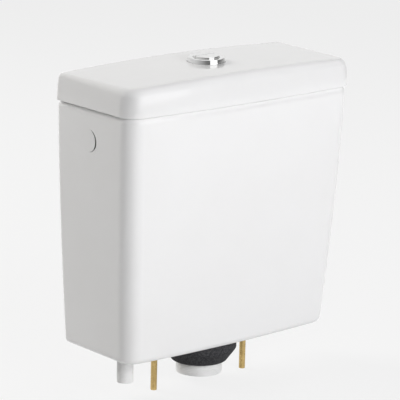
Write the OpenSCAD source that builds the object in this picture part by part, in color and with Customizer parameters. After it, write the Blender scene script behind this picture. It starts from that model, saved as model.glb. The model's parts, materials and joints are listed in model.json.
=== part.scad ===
// Close-coupled toilet cistern with a lid-mounted dual flush button.
// Millimetres. The origin is on the flush outlet's axis at the underside of the tank.
// +X is to the right seen from the front, +Y points to the wall and +Z is up.

/* [Tank] */
// Width of the tank at its rim
tank_w = 364; // [330:1:400]
// Depth of the tank at the rim, from the wall to the front corners
tank_d = 145; // [132:1:170]
// Height of the tank, from its underside to its rim
tank_h = 317; // [290:1:360]
// How far each side curves in between the rim and the base
side_taper = 16; // [0:1:24]
// How far the front curves in between the rim and the base
front_taper = 15.5; // [0:0.5:20]
// Exponent of the curve by which the sides and the front draw in
taper_power = 1.5; // [1:0.1:2.5]
// How far the front swells past its corners
front_bow = 7; // [0:0.5:12]
// Radius of the upright front corners at the rim
front_corner_r = 21; // [16:1:30]
// Radius of the upright front corners at the base
base_corner_r = 20; // [16:1:36]
// Radius of the upright back corners
back_corner_r = 6; // [4:1:12]
// Thickness of the china walls
wall_t = 9; // [7:0.5:12]
// Thickness of the china floor
floor_t = 11; // [8:0.5:14]
// Radius of the rounded edge round the underside
base_edge_r = 5; // [3:0.5:14]
// Radius of the inner edge round the floor
floor_edge_r = 10; // [4:0.5:14]
// Width of the rim's rounded outer edge, across the wall
rim_edge_w = 6; // [2:0.5:8]
// Height of the rim's rounded outer edge, down the wall
rim_edge_h = 10; // [2:1:16]
// Radius of the rim's inner edge
rim_inner_r = 2.5; // [1:0.5:4]
// Distance from the wall to the flush outlet's axis
outlet_to_wall = 70; // [64:1:76]

/* [Lid] */
// Overhang of the lid past the tank's sides and front
lid_overhang = 3; // [1:0.5:6]
// Gap between the back of the lid and the wall
lid_wall_gap = 0.5; // [0.2:0.1:3]
// Height of the lid's side, from its foot to its top edge
lid_side_h = 34; // [28:1:44]
// Rise of the top from its two sides to its middle
lid_crown = 5; // [2:0.5:8]
// How far the lid's sides lean in over their height
lid_lean = 2; // [0:0.5:4]
// Radius of the rounded top edge at the front
lid_edge_r = 12; // [6:1:16]
// Radius of the rounded top edge at the back, towards which it narrows
lid_back_edge_r = 3.5; // [2:0.5:8]
// Radius of the rounded foot
lid_foot_r = 1.5; // [1:0.5:5]
// Thickness of the lid's top at its edge
lid_t = 8; // [6:0.5:11]
// Depth to which the locating lip drops into the tank
lip_depth = 8; // [4:0.5:14]
// Thickness of the locating lip
lip_t = 7; // [5:0.5:10]
// Gap between the locating lip and the tank's wall
lip_play = 3; // [1:0.5:5]
// Gap between the lid and the tank's rim
lid_seat_gap = 0.3; // [0.2:0.1:0.8]

/* [Flush button] */
// Outer radius of the chrome bezel
bezel_r = 24; // [22:0.5:28]
// Height of the bezel above the lid
bezel_h = 6.4; // [3:0.2:7]
// How far the bezel's side leans in over its height
bezel_lean = 0.7; // [0:0.1:2]
// Radius of the round on the bezel's outer edge
bezel_edge_r = 1; // [0.5:0.1:2]
// Outer radius of the bezel's threaded barrel
barrel_r = 19.5; // [19.2:0.1:21]
// Length of the barrel below the bezel
barrel_len = 27; // [25:1:34]
// Radius of the raised disc that the two buttons make up
button_r = 16.6; // [15:0.1:17]
// Height of the disc above the bezel
button_proud = 2.4; // [1:0.2:4]
// Depth of a button, from its face to its foot
button_depth = 12; // [10:0.5:14]
// Where the slit between the two buttons lies, towards the wall
button_split_y = 2.5; // [1:0.5:4]
// Width of the slit between the two buttons
button_slit = 0.6; // [0.4:0.1:1]
// Travel of each button
press = 8; // [6:0.5:9]
// Radius of the push rods
push_rod_r = 2.2; // [1.8:0.1:2.5]
// Distance of the full flush rod from the axis, towards the front
full_rod_out = 8; // [7.5:0.1:8.5]
// Distance of the half flush rod from the axis, towards the wall
half_rod_out = 9; // [8.5:0.1:9.5]
// Mean radius of the return springs
spring_r = 3.7; // [3.4:0.1:4]
// Radius of the spring wire
spring_wire_r = 0.45; // [0.3:0.05:0.5]
// Turns of each return spring
spring_turns = 6; // [4:1:8]
// Thickness of the foam gasket under the bezel
bezel_gasket_t = 1; // [0.5:0.1:2]
// Thickness of the bezel's backnut
bezel_nut_t = 7; // [5:0.5:8]
// Thickness of the cartridge's floor
cartridge_t = 2.5; // [2:0.1:4]

/* [Flush valve] */
// Radius of the outlet hole in the tank's floor
outlet_hole_r = 31.5; // [31:0.1:33]
// Outer radius of the threaded outlet tail
tail_r = 29.8; // [28:0.1:30]
// Radius of the outlet's waterway
tail_bore_r = 25; // [23:0.5:26]
// Length of the outlet tail below the tank
tail_len = 50; // [44:1:64]
// Radius of the valve's flange inside the tank
valve_flange_r = 38.5; // [37:0.5:42]
// Thickness of the valve's flange
valve_flange_t = 4; // [3:0.5:6]
// Thickness of the rubber washer under the flange
seat_washer_t = 3; // [2:0.5:5]
// Height of the raised lip that the seal sits on
seat_lip_h = 4; // [2:0.5:6]
// Outer radius of the basket round the seat
basket_r = 36.5; // [36:0.1:37]
// Height of the basket above the flange
basket_h = 36; // [30:1:44]
// Wall thickness of the basket
basket_t = 5; // [4:0.5:6]
// Height of the tower's cage above the basket
tower_h = 88; // [70:1:94]
// Wall thickness of the tower's cage
cage_t = 2.4; // [1.8:0.2:3]
// Height of the overflow's top above the tank's underside
overflow_h = 222; // [205:1:240]
// Outer radius of the overflow tube
tube_r = 15; // [13:0.5:15.5]
// Wall thickness of the overflow tube
tube_t = 2; // [1.5:0.1:3]
// Radius of the flush seal
seal_r = 29.3; // [28.5:0.1:29.8]
// Thickness of the flush seal
seal_t = 3; // [2:0.5:4]
// Arm of a lever from its pin to the push rod
lever_pad_arm = 22; // [21:0.5:24]
// Arm of a lever from its pin to the part that it lifts
lever_lift_arm = 30; // [27:0.5:34]
// Width of a lever
lever_w = 6; // [4:0.5:7]
// Radius of the lever pins
lever_pin_r = 2; // [1.5:0.1:2.4]
// Height of the two flush floats
float_h = 50; // [35:1:60]
// Width of the two flush floats along the wall of the tower
float_w = 36; // [28:1:40]
// Depth of the two flush floats, outwards from the tower
float_d = 15; // [12:0.5:18]
// Thickness of the tail's backnut
tail_nut_t = 12; // [8:0.5:14]
// Height of the coupling gasket
gasket_h = 34; // [28:1:40]
// Outer radius of the coupling gasket
gasket_r = 48; // [46:0.5:54]

/* [Fill valve] */
// Distance of the fill valve's axis from the side wall at the base
fill_inset = 39; // [36:1:42]
// Outer radius of the threaded inlet shank
shank_r = 10.48; // [9:0.02:11]
// Length of the inlet shank below the tank
shank_len = 44; // [36:1:56]
// Radius of the waterway in the riser
riser_bore_r = 6; // [4:0.5:7]
// Outer radius of the riser
riser_r = 9; // [8:0.5:9.5]
// Outer radius of the outlet sleeve round the riser
sleeve_r = 14; // [12.5:0.5:15]
// Wall thickness of the outlet sleeve
sleeve_t = 2; // [1.5:0.1:2.5]
// Gap between the overflow's top and the valve head
air_gap = 28; // [20:1:32]
// Outer radius of the valve head
head_r = 19; // [17:0.5:19.5]
// Height of the valve head
head_h = 18; // [14:0.5:22]
// Height of the ribbed cap on the head
cap_h = 13; // [10:0.5:16]
// Thickness of the diaphragm between the head and the cap
diaphragm_t = 1.5; // [1:0.1:3]
// Outer radius of the float cup
float_cup_r = 31; // [29:0.5:33]
// Height of the float cup
float_cup_h = 50; // [36:1:60]
// Rise of the float cup
float_rise = 8; // [5:0.5:9]
// Arm of the float lever from its pin to the float rod
float_arm = 26; // [24.5:0.5:28]
// Radius of the float rod
float_rod_r = 1.8; // [1.4:0.1:2]
// Thickness of the shank's backnut
shank_nut_t = 12; // [8:0.5:16]

/* [Coupling bolts] */
// Distance between the two coupling bolts
bolt_spacing = 150; // [144:1:156]
// Radius of the bolts' free threads
bolt_r = 4; // [3:0.25:4.5]
// Length of the bolts below the tank
bolt_len = 62; // [50:1:80]
// Radius of the bolt holes in the tank's floor
bolt_hole_r = 5.5; // [5.2:0.1:6.5]
// Radius of the rubber seals under the bolt heads
bolt_seal_r = 10.5; // [9:0.5:11]
// Thickness of the rubber seals under the bolt heads
bolt_seal_t = 4; // [2:0.5:6]
// Thickness of the steel washers
bolt_plate_t = 1.6; // [1:0.1:3]
// Thickness of the bolt heads and of the nuts
bolt_nut_t = 6.5; // [5:0.5:8]

/* [Side plug] */
// Distance of the side hole below the rim
plug_drop = 40; // [36:1:60]
// Radius of the plug's face
plug_r = 13; // [12:0.1:15]
// Thickness of the plug's face
plug_face_t = 1.2; // [0.8:0.1:2]
// Depth of the plug's face below the tank's side
plug_recess = 0.2; // [0.2:0.1:1.6]
// How far the plug sits back from the middle of its hole
plug_shift = 1.3; // [0:0.1:1.5]
// Radius of the plug's threaded barrel
plug_barrel_r = 9; // [8:0.1:10]
// Thickness of the rubber seal under the plug's face
plug_seal_t = 2; // [1:0.5:3]
// Thickness of the plug's nut
plug_nut_t = 7; // [5:0.5:9]

/* [Hidden] */
$fn = 96;
// Overlap by which a cut runs past the face that it opens
cut = 1;
// Width of a nut's rim round a large thread
nut_rim = 8;
// Radial gap of a nut on its thread, or of a washer on a stem
thread_gap = 0.1;
// Depth of a thread, which an engaged stretch is drawn below its crests
thread_depth = 0.6;
// Gap between pieces that slide past each other
slide_gap = 0.4;
// Gap between a piece at rest and the stop that carries it
rest_gap = 0.3;
// Radial clearance of a lever on its pin
pin_gap = 0.05;
// Radial clearance of a pin in the ears that hold it
pin_seat_gap = 0.02;
// Steps of the lofted corners, edges and walls
front_steps = 8;
back_steps = 3;
bow_steps = 12;
edge_steps = 5;
wall_steps = 9;
crown_steps = 7;
lid_back_steps = 10;
// Least corner radius of an inset outline
least_corner_r = 4;

// Tank, seen from its underside
back_y = outlet_to_wall;
front_y = outlet_to_wall - tank_d;
inner_back_y = back_y - wall_t;
base_inner_front_y = front_y + front_taper + wall_t;
rim_flat = 0.5;
rim_out_w = min(rim_edge_w, wall_t - rim_inner_r - rim_flat);

// Lid levels
lid_z = tank_h + lid_seat_gap;
lid_edge_z = lid_z + lid_side_h;
lid_ceiling_z = lid_edge_z - lid_t;
lid_half_w = tank_w / 2 + lid_overhang;
lid_back_y = back_y - lid_wall_gap;
lid_front_y = front_y - lid_overhang;
lid_middle_y = (lid_back_y + lid_front_y - front_bow) / 2;
lip_inset = lid_overhang + wall_t + lip_play;
lid_hollow_inset = lip_inset + lip_t;
lid_hollow_r = 6;
lip_edge_r = 1.5;
lid_top_z = lid_edge_z + lid_crown;

// Button levels
bezel_seat_sink = 1.6;
bezel_seat_z = lid_top_z - bezel_seat_sink;
bezel_seat_gap = 0.4;
bezel_z = bezel_seat_z + bezel_gasket_t;
bezel_top_z = bezel_z + bezel_h;
barrel_z = bezel_z - barrel_len;
barrel_hole_gap = 0.8;
barrel_core_r = barrel_r - thread_depth;
button_foot_t = 2.4;
button_foot_out = 0.8;
button_foot_r = button_r + button_foot_out;
button_edge_r = 1;
bezel_bore_r = button_r + slide_gap;
barrel_bore_r = button_foot_r + slide_gap;
barrel_step_z = bezel_z + rest_gap;
button_top_z = bezel_top_z + button_proud;
button_foot_z = min(button_top_z - button_depth, barrel_step_z - rest_gap - button_foot_t);
rod_socket = 6;
rod_foot_r = 4;
rod_foot_t = 3;
cartridge_flange_t = 2;
cartridge_rim_h = 5;
cartridge_rim_t = 1.4;
cartridge_floor_z = barrel_z + cartridge_t - cartridge_flange_t;
bezel_nut_r = barrel_r + nut_rim;
bezel_nut_lugs = 6;
bezel_nut_lug_w = 8;
bezel_gasket_in = 1;
spring_low_z = cartridge_floor_z + rest_gap + spring_wire_r;
spring_high_z = button_foot_z - rest_gap - spring_wire_r;
spring_rings = 8;
spring_sides = 6;

// Flush valve levels
tail_core_r = tail_r - thread_depth;
washer_z = floor_t;
flange_z = washer_z + seat_washer_t;
flange_top_z = flange_z + valve_flange_t;
seat_z = flange_top_z + seat_lip_h;
seat_lip_t = 2.6;
seat_lip_slope = 0.65;
basket_in_r = basket_r - basket_t;
basket_ring_h = 7;
basket_windows = 6;
basket_post_w = 9;
basket_sill = 1.5;
collar_z = flange_top_z + basket_h;
collar_h = 6;
spigot_h = 6;
spigot_t = 1.5;
spigot_r = basket_in_r - thread_gap;
cage_r = spigot_r + cage_t;
cage_windows = 4;
cage_window_w = 32;
cage_window_margin = 9;
cage_window_turn = 45;
plate_t = 4;
plate_z = collar_z + tower_h - plate_t;
plate_top_z = plate_z + plate_t;
guide_h = 12;
guide_t = 2.4;
guide_bore_r = tube_r + slide_gap;
guide_r = guide_bore_r + guide_t;
guide_top_z = plate_top_z + guide_h;

// Levers and what they lift
tube_lift = press * lever_lift_arm / lever_pad_arm;
pad_end_r = 4;
lift_end_r = 3.5;
lever_boss_r = 5;
lever_tube_gap = 7;
lever_z = overflow_h + tube_lift + press + pad_end_r + lever_tube_gap;
lever_arm_t = 5;
lever_pin_x = lever_pad_arm;
lever_tip_x = lever_pin_x + lever_lift_arm;
post_w = 8;
post_cheek = 2.6;
post_side_gap = 0.4;
post_d = lever_w + 2 * (post_side_gap + post_cheek);
post_top = 6;
post_slot = 14;
post_foot = 10;
pin_head = 0.5;
ear_t = 3;
ear_z = lever_z + lift_end_r + rest_gap;
ear_reach = 10;
ear_w = 8;
strap_t = 3;
strap_gap = 1.5;
strap_x = lever_tip_x + lift_end_r + strap_gap;
yoke_h = 10;
yoke_t = 2;
yoke_gap = 6;
yoke_z = guide_top_z + yoke_gap;
yoke_arm_w = 6;
yoke_arm_y = 1;
rail_w = 6;
rail_stop = 3;
float_top_drop = 6;
float_top_z = plate_z - float_top_drop;
float_low_z = float_top_z - float_h;
float_skin = 1.6;
float_corner_r = 5;
float_x = strap_x - float_d;
rail_in_float = 3;
rail_tip_x = float_x + rail_in_float;
strap_w = 24;
lug_r_out = 3;
tail_nut_r = tail_r + nut_rim;
tail_nut_lugs = 6;
tail_nut_lug_w = 8;
gasket_lip = 1;
gasket_step_z = -tail_nut_t - gasket_lip;
gasket_toe_t = 6;
gasket_toe_r = tail_r + gasket_toe_t;
tube_foot_gap = 2;
tube_foot_r = tail_bore_r - tube_foot_gap;
tube_foot_t = 3;
tube_low_z = seat_z + rest_gap - tube_foot_t;
seal_z = seat_z + rest_gap;
retainer_z = seal_z + seal_t;
retainer_h = 6;
retainer_in = 3;
retainer_r = seal_r - retainer_in;
retainer_hub_t = 4;

// Fill valve levels
fill_x = -(tank_w / 2 - side_taper - wall_t - fill_inset);
fill_y = (inner_back_y + base_inner_front_y) / 2;
shank_core_r = shank_r - thread_depth;
shank_hole_gap = 1;
shank_washer_t = 3;
shank_flange_out = 3.6;
shank_flange_r = shank_r + shank_flange_out;
shank_flange_t = 4;
shank_flange_z = floor_t + shank_washer_t;
riser_z = shank_flange_z + shank_flange_t;
shank_nut_out = 4;
shank_nut_lugs = 6;
shank_nut_lug_w = 4;
shank_nut_lug_out = 1.5;
lock_ring_h = 10;
lock_ring_out = 3;
lock_ring_r = sleeve_r + lock_ring_out;
lock_ring_rise = 34;
lock_ring_z = riser_z + lock_ring_rise;
sleeve_z = lock_ring_z + lock_ring_h;
head_z = overflow_h + air_gap;
riser_in_head = 2;
riser_top_z = head_z + riser_in_head;
head_neck_h = 4;
head_top_z = head_z + head_h;
cap_z = head_top_z + diaphragm_t;
cap_top_z = cap_z + cap_h;
cap_ribs = 18;
cap_rib_r = 0.9;
cap_bevel = 3;
diaphragm_in = 1;
float_rod_out = 5;
float_rod_x = head_r + float_rod_out;
float_lever_pin_x = float_rod_x - float_arm;
float_lever_rise = 8;
float_lever_z = cap_top_z + float_lever_rise;
float_lever_w = 6;
float_lever_t = 3.4;
float_lever_tail = 12;
float_pin_r = 1.5;
ear_gap = 0.4;
cap_ear_t = 2.4;
cap_ear_r = 3.6;
pilot_r = 3;
pilot_h = 2;
pilot_pad_out = 0.6;
fork_slot = 2 * (float_rod_r + slide_gap);
fork_w = 12;
fork_len = 10;
fork_root = 2;
collar_gap = 3.3;
collar_t = 2;
float_collar_r = 4.4;
float_head_gap = 6;
float_cup_top_z = head_z - float_rise - float_head_gap;
float_cup_low_z = float_cup_top_z - float_cup_h;
float_cup_skin = 1.8;
float_cup_round = 4;
float_boss_t = 2.6;
float_boss_r = float_rod_r + float_boss_t;
float_boss_h = 12;
sleeve_slot_w = 5;
sleeve_slot_h = 14;
sleeve_slots = 4;

// Coupling bolts
bolt_thread_depth = 0.4;
bolt_core_r = bolt_r - bolt_thread_depth;
bolt_head_r = 8.5;
bolt_crown_r = 5.1;
bolt_plate_in = 0.5;
bolt_plate_r = bolt_seal_r - bolt_plate_in;
bolt_seal_z = floor_t;
bolt_plate_z = bolt_seal_z + bolt_seal_t;
bolt_head_z = bolt_plate_z + bolt_plate_t;
bolt_nut_z = -bolt_plate_t - bolt_nut_t;
bolt_nut_out = 3.5;
bolt_nut_r = bolt_r + bolt_nut_out;
bolt_slot_w = 2;
bolt_slot_d = 2;

// Side plug, measured on the left wall at the height of its hole
plug_z = tank_h - plug_drop;
plug_wall_x = -half_w_at(plug_z);
plug_seat_t = 0.8;
plug_hole_gap = 0.1;
plug_hole_play = plug_shift + plug_hole_gap;
plug_face_x = plug_wall_x + plug_recess;
plug_seal_x = plug_face_x + plug_face_t;
plug_seat_x = plug_seal_x + plug_seal_t;
plug_inner_x = plug_wall_x + wall_t - plug_seat_t;
plug_nut_out = 6;
plug_nut_r = plug_barrel_r + plug_nut_out;
plug_nut_gap = 1;
plug_nut_room = plug_shift + plug_nut_gap;
plug_barrel_past = 3;
plug_barrel_end_x = plug_inner_x + plug_nut_t + plug_barrel_past;
plug_barrel_t = 2.2;
plug_bevel = 0.3;
plug_web_t = 3;

// Colours
china = "#f1f1ef";
chrome = "#c9ccd0";
white_plastic = "#e9ebea";
grey_plastic = "#a9afb3";
blue_plastic = "#5f86a8";
rubber = "#2f3133";
steel = "#b4b7ba";
brass = "#c9a94f";
foam = "#3f4144";

// How far the walls have drawn in at a height, from 0 at the rim to 1 at the base
function drawn_in(z) = pow(max(0, 1 - z / tank_h), taper_power);
function half_w_at(z) = tank_w / 2 - side_taper * drawn_in(z);
function front_y_at(z) = front_y + front_taper * drawn_in(z);
function corner_r_at(z) = front_corner_r + (base_corner_r - front_corner_r) * drawn_in(z);

// A point on an arc, and a point moved forward by the swell of the front
function arc_point(x, y, r, angle) = [x + r * cos(angle), y + r * sin(angle)];
function swell(p, half_w, bow) = [p[0], p[1] - bow * (1 - pow(p[0] / half_w, 2))];

// Plan outline, anticlockwise from the right side: back corners, front corners and swelling front.
// The straight back is divided into the given number of steps.
function plan(half_w, back, front, bow, corner_r, back_r, steps) =
  let (front_half = half_w - corner_r, back_half = half_w - back_r)
  [
    for (i = [0:back_steps]) arc_point(back_half, back - back_r, back_r, 90 * i / back_steps),
    for (i = [1:1:steps - 1]) [back_half * (1 - 2 * i / steps), back],
    for (i = [0:back_steps]) arc_point(-back_half, back - back_r, back_r, 90 + 90 * i / back_steps),
    for (i = [0:front_steps])
      swell(arc_point(-front_half, front + corner_r, corner_r, 180 + 90 * i / front_steps), half_w, bow),
    for (i = [1:bow_steps - 1])
      swell([front_half * (2 * i / bow_steps - 1), front], half_w, bow),
    for (i = [0:front_steps])
      swell(arc_point(front_half, front + corner_r, corner_r, 270 + 90 * i / front_steps), half_w, bow)
  ];

// Outlines lifted to a height
function lifted(outline, z) = [for (p = outline) [p[0], p[1], z]];
function tank_ring(z, inset) = lifted(
  plan(
    half_w_at(z) - inset, back_y - inset, front_y_at(z) + inset, front_bow,
    max(corner_r_at(z) - inset, least_corner_r), max(back_corner_r - inset, least_corner_r), 1
  ), z);
function lid_plan(inset) =
  plan(
    lid_half_w - inset, lid_back_y - inset, lid_front_y + inset, front_bow,
    max(front_corner_r + lid_overhang - inset, least_corner_r), max(back_corner_r - inset, least_corner_r),
    lid_back_steps
  );
function lid_ring(z, inset) = lifted(lid_plan(inset), z);

// Height of the lid's top, which is arched across its width and straight from back to front
function lid_top_at(x) = lid_edge_z + lid_crown * (1 - pow(x / lid_half_w, 2));

// How far forward a point of the lid's outline lies, from 0 at the back to 1 at the front corners
function lid_ahead(p) = min(1, (lid_back_y - p[1]) / (lid_back_y - lid_front_y));

// Ring at an angle round the lid's top edge, whose radius grows from the back to the front
function lid_edge_ring(a) =
  let (
    side = lid_plan(lid_lean),
    sharp = lid_plan(lid_lean + lid_back_edge_r * (1 - cos(a))),
    soft = lid_plan(lid_lean + lid_edge_r * (1 - cos(a)))
  )
  [
    for (i = [0:len(soft) - 1])
      let (
        ahead = lid_ahead(side[i]),
        r = lid_back_edge_r + (lid_edge_r - lid_back_edge_r) * ahead,
        p = sharp[i] + (soft[i] - sharp[i]) * ahead
      )
      [p[0], p[1], lid_top_at(p[0]) - r * (1 - sin(a))]
  ];

// A skin over rings of equal count, closed by a flat face at each end
module skin(rings) {
  count = len(rings[0]);
  last = len(rings) - 1;
  points = [for (ring = rings) each ring];
  sides = [
    for (i = [0:last - 1], j = [0:count - 1])
      let (a = i * count + j, b = i * count + (j + 1) % count)
      each [[a, a + count, b + count], [a, b + count, b]]
  ];
  low_face = [for (j = [0:count - 1]) j];
  high_face = [for (j = [0:count - 1]) last * count + count - 1 - j];
  polyhedron(points = points, faces = concat(sides, [low_face], [high_face]));
}

module ring(outer_r, inner_r, h) {
  difference() {
    cylinder(r = outer_r, h = h);
    translate([0, 0, -cut])
      cylinder(r = inner_r, h = h + 2 * cut);
  }
}

// A slab between two corners
module slab(low, high) {
  translate(low)
    cube(high - low);
}

// Rectangle with round corners, between two corners
module rounded_rect(low, high, r) {
  size = high - low;
  translate(low + [r, 0])
    square([size[0] - 2 * r, size[1]]);
  translate(low + [0, r])
    square([size[0], size[1] - 2 * r]);
  for (x = [low[0] + r, high[0] - r], y = [low[1] + r, high[1] - r])
    translate([x, y])
      circle(r = r);
}

// Shapes drawn in the XZ plane, with a thickness along Y about a middle
module upright(middle_y, thickness) {
  translate([0, middle_y + thickness / 2, 0])
    rotate([90, 0, 0])
      linear_extrude(height = thickness)
        children();
}

// The half flush side of the valve mirrors the full flush side
module on_half_side() {
  mirror([1, 0, 0])
    children();
}

module at_bolts() {
  for (side = [-1, 1])
    translate([side * bolt_spacing / 2, 0, 0])
      children();
}

module at_fill_valve() {
  translate([fill_x, fill_y, 0])
    children();
}

// The side hole's axis, pointing into the tank from the plane of the given x
module at_plug(x, shift = 0) {
  translate([x, fill_y + shift, plug_z])
    rotate([0, 90, 0])
      children();
}

// Nut with grip lugs
module lugged_nut(outer_r, bore_r, h, lugs, lug_w, lug_out) {
  difference() {
    union() {
      cylinder(r = outer_r, h = h);
      for (i = [0:lugs - 1])
        rotate([0, 0, i * 360 / lugs])
          translate([0, -lug_w / 2, 0])
            cube([outer_r + lug_out, lug_w, h]);
    }
    translate([0, 0, -cut])
      cylinder(r = bore_r, h = h + 2 * cut);
  }
}

// China shell: outside from the underside up, over the rim and down the inside to the floor
module tank() {
  inner_low = floor_t + floor_edge_r;
  outer_low = base_edge_r;
  outer_high = tank_h - rim_edge_h;
  inner_high = tank_h - rim_inner_r;
  base_edge = [
    for (i = [0:edge_steps - 1])
      let (a = 90 * i / edge_steps)
      tank_ring(base_edge_r * (1 - cos(a)), base_edge_r * (1 - sin(a)))
  ];
  outside = [
    for (i = [0:wall_steps])
      tank_ring(outer_low + (outer_high - outer_low) * i / wall_steps, 0)
  ];
  outer_rim = [
    for (i = [1:edge_steps])
      let (a = 90 * i / edge_steps)
      tank_ring(outer_high + rim_edge_h * sin(a), rim_out_w * (1 - cos(a)))
  ];
  inner_rim = [
    for (i = [0:edge_steps])
      let (a = 90 * i / edge_steps)
      tank_ring(inner_high + rim_inner_r * cos(a), wall_t - rim_inner_r * (1 - sin(a)))
  ];
  inside = [
    for (i = [1:wall_steps])
      tank_ring(inner_high + (inner_low - inner_high) * i / wall_steps, wall_t)
  ];
  floor_edge = [
    for (i = [1:edge_steps])
      let (a = 90 * i / edge_steps)
      tank_ring(inner_low - floor_edge_r * sin(a), wall_t + floor_edge_r * (1 - cos(a)))
  ];
  color(china)
    difference() {
      skin(concat(base_edge, outside, outer_rim, inner_rim, inside, floor_edge));
      translate([0, 0, -cut])
        cylinder(r = outlet_hole_r, h = floor_t + 2 * cut);
      at_fill_valve()
        translate([0, 0, -cut])
          cylinder(r = shank_r + shank_hole_gap, h = floor_t + 2 * cut);
      at_bolts()
        translate([0, 0, -cut])
          cylinder(r = bolt_hole_r, h = floor_t + 2 * cut);
      at_plug(plug_wall_x - cut)
        cylinder(r = plug_barrel_r + plug_hole_play, h = wall_t + 2 * cut);
      at_plug(plug_wall_x - cut)
        cylinder(r = plug_r + plug_hole_play, h = plug_seat_x - plug_wall_x + cut);
      at_plug(plug_inner_x)
        cylinder(r = plug_nut_r + plug_nut_room, h = plug_seat_t + cut);
    }
}

module seat_washer() {
  color(rubber)
    translate([0, 0, washer_z])
      ring(valve_flange_r, tail_core_r + thread_gap, seat_washer_t);
}

// Outlet tail, flange, seat lip and the windowed basket that holds the tower
module valve_seat() {
  lip_r = tail_bore_r + seat_lip_t;
  free_z = -gasket_h - gasket_lip;
  profile = [
    [tail_bore_r, -tail_len],
    [tail_r, -tail_len],
    [tail_r, free_z],
    [tail_core_r, free_z],
    [tail_core_r, flange_z],
    [valve_flange_r, flange_z],
    [valve_flange_r, flange_top_z],
    [basket_r, flange_top_z],
    [basket_r, collar_z],
    [basket_in_r, collar_z],
    [basket_in_r, flange_top_z],
    [lip_r, flange_top_z],
    [lip_r - seat_lip_slope, seat_z],
    [tail_bore_r + seat_lip_slope, seat_z],
    [tail_bore_r, flange_top_z]
  ];
  window_w = 2 * PI * basket_r / basket_windows - basket_post_w;
  color(white_plastic)
    difference() {
      rotate_extrude()
        polygon(profile);
      difference() {
        for (i = [0:basket_windows - 1])
          rotate([0, 0, (i + 0.5) * 360 / basket_windows])
            slab(
              [0, -window_w / 2, flange_top_z + basket_sill],
              [basket_r + cut, window_w / 2, collar_z - basket_ring_h]
            );
        translate([0, 0, flange_top_z])
          cylinder(r = (lip_r + basket_in_r) / 2, h = basket_h);
      }
    }
}

module tail_backnut() {
  color(white_plastic)
    translate([0, 0, -tail_nut_t])
      lugged_nut(tail_nut_r, tail_core_r + thread_gap, tail_nut_t, tail_nut_lugs, tail_nut_lug_w, lug_r_out);
}

// Foam ring that seals the outlet to the pan: it houses the backnut and tapers to its toe
module coupling_gasket() {
  house_r = tail_nut_r + lug_r_out + slide_gap;
  color(foam)
    rotate_extrude()
      polygon([
        [house_r, 0],
        [house_r, gasket_step_z],
        [tail_core_r + thread_gap, gasket_step_z],
        [tail_core_r + thread_gap, -gasket_h],
        [gasket_toe_r, -gasket_h],
        [gasket_r, -gasket_h / 2],
        [gasket_r, 0]
      ]);
}

// One of the two lever posts, forked at its top
module lever_post(middle_y) {
  inner_x = lever_pin_x - post_w / 2;
  outer_x = lever_pin_x + post_w / 2;
  foot_x = min(outer_x + post_foot, cage_r - cage_t);
  top_z = lever_z + post_top;
  difference() {
    upright(middle_y, post_d)
      polygon([
        [inner_x, plate_z],
        [foot_x, plate_z],
        [foot_x, plate_top_z],
        [outer_x, plate_top_z + 2 * post_foot],
        [outer_x, top_z],
        [inner_x, top_z]
      ]);
    upright(middle_y, lever_w + 2 * post_side_gap)
      translate([lever_pin_x - post_w, lever_z - post_slot])
        square([2 * post_w, post_slot + post_top + cut]);
    upright(middle_y, post_d + 2 * cut)
      translate([lever_pin_x, lever_z])
        circle(r = lever_pin_r + pin_seat_gap);
  }
}

// Guide rail of one of the two floats, with the stop that the float comes down on
module float_rail() {
  wall_x = cage_r - cage_t / 2;
  stop_z = float_low_z - rest_gap;
  upright(0, rail_w)
    polygon([
      [wall_x, stop_z - rail_stop],
      [float_x, stop_z - rail_stop],
      [rail_tip_x + rail_stop, stop_z],
      [rail_tip_x, stop_z],
      [rail_tip_x, plate_z],
      [wall_x, plate_z]
    ]);
}

// Cage over the seat, with the guide of the overflow tube, the lever posts and the float rails
module valve_tower() {
  spigot_in_r = spigot_r - spigot_t;
  profile = [
    [spigot_in_r, collar_z - spigot_h],
    [spigot_r, collar_z - spigot_h],
    [spigot_r, collar_z],
    [basket_r, collar_z],
    [basket_r, collar_z + collar_h],
    [cage_r, collar_z + collar_h],
    [cage_r, plate_top_z],
    [guide_r, plate_top_z],
    [guide_r, guide_top_z],
    [guide_bore_r, guide_top_z],
    [guide_bore_r, plate_z],
    [cage_r - cage_t, plate_z],
    [cage_r - cage_t, collar_z + collar_h],
    [spigot_in_r, collar_z]
  ];
  color(white_plastic)
    union() {
      difference() {
        rotate_extrude()
          polygon(profile);
        for (i = [0:cage_windows - 1])
          rotate([0, 0, cage_window_turn + i * 360 / cage_windows])
            slab(
              [guide_r, -cage_window_w / 2, collar_z + collar_h + cage_window_margin],
              [cage_r + cut, cage_window_w / 2, plate_z - cage_window_margin]
            );
      }
      lever_post(-full_rod_out);
      float_rail();
      on_half_side() {
        lever_post(half_rod_out);
        float_rail();
      }
    }
}

module lever_pins() {
  color(steel)
    for (pin = [[lever_pin_x, -full_rod_out], [-lever_pin_x, half_rod_out]])
      upright(pin[1], post_d + 2 * pin_head)
        translate([pin[0], lever_z])
          circle(r = lever_pin_r);
}

// Inlet shank and riser in one piece
module fill_riser() {
  free_z = -shank_nut_t - cut;
  profile = [
    [riser_bore_r, -shank_len],
    [shank_r, -shank_len],
    [shank_r, free_z],
    [shank_core_r, free_z],
    [shank_core_r, shank_flange_z],
    [shank_flange_r, shank_flange_z],
    [shank_flange_r, riser_z],
    [riser_r, riser_z],
    [riser_r, riser_top_z],
    [riser_bore_r, riser_top_z]
  ];
  color(white_plastic)
    at_fill_valve()
      rotate_extrude()
        polygon(profile);
}

module shank_washer() {
  color(rubber)
    at_fill_valve()
      translate([0, 0, floor_t])
        ring(shank_flange_r, shank_core_r + thread_gap, shank_washer_t);
}

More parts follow.
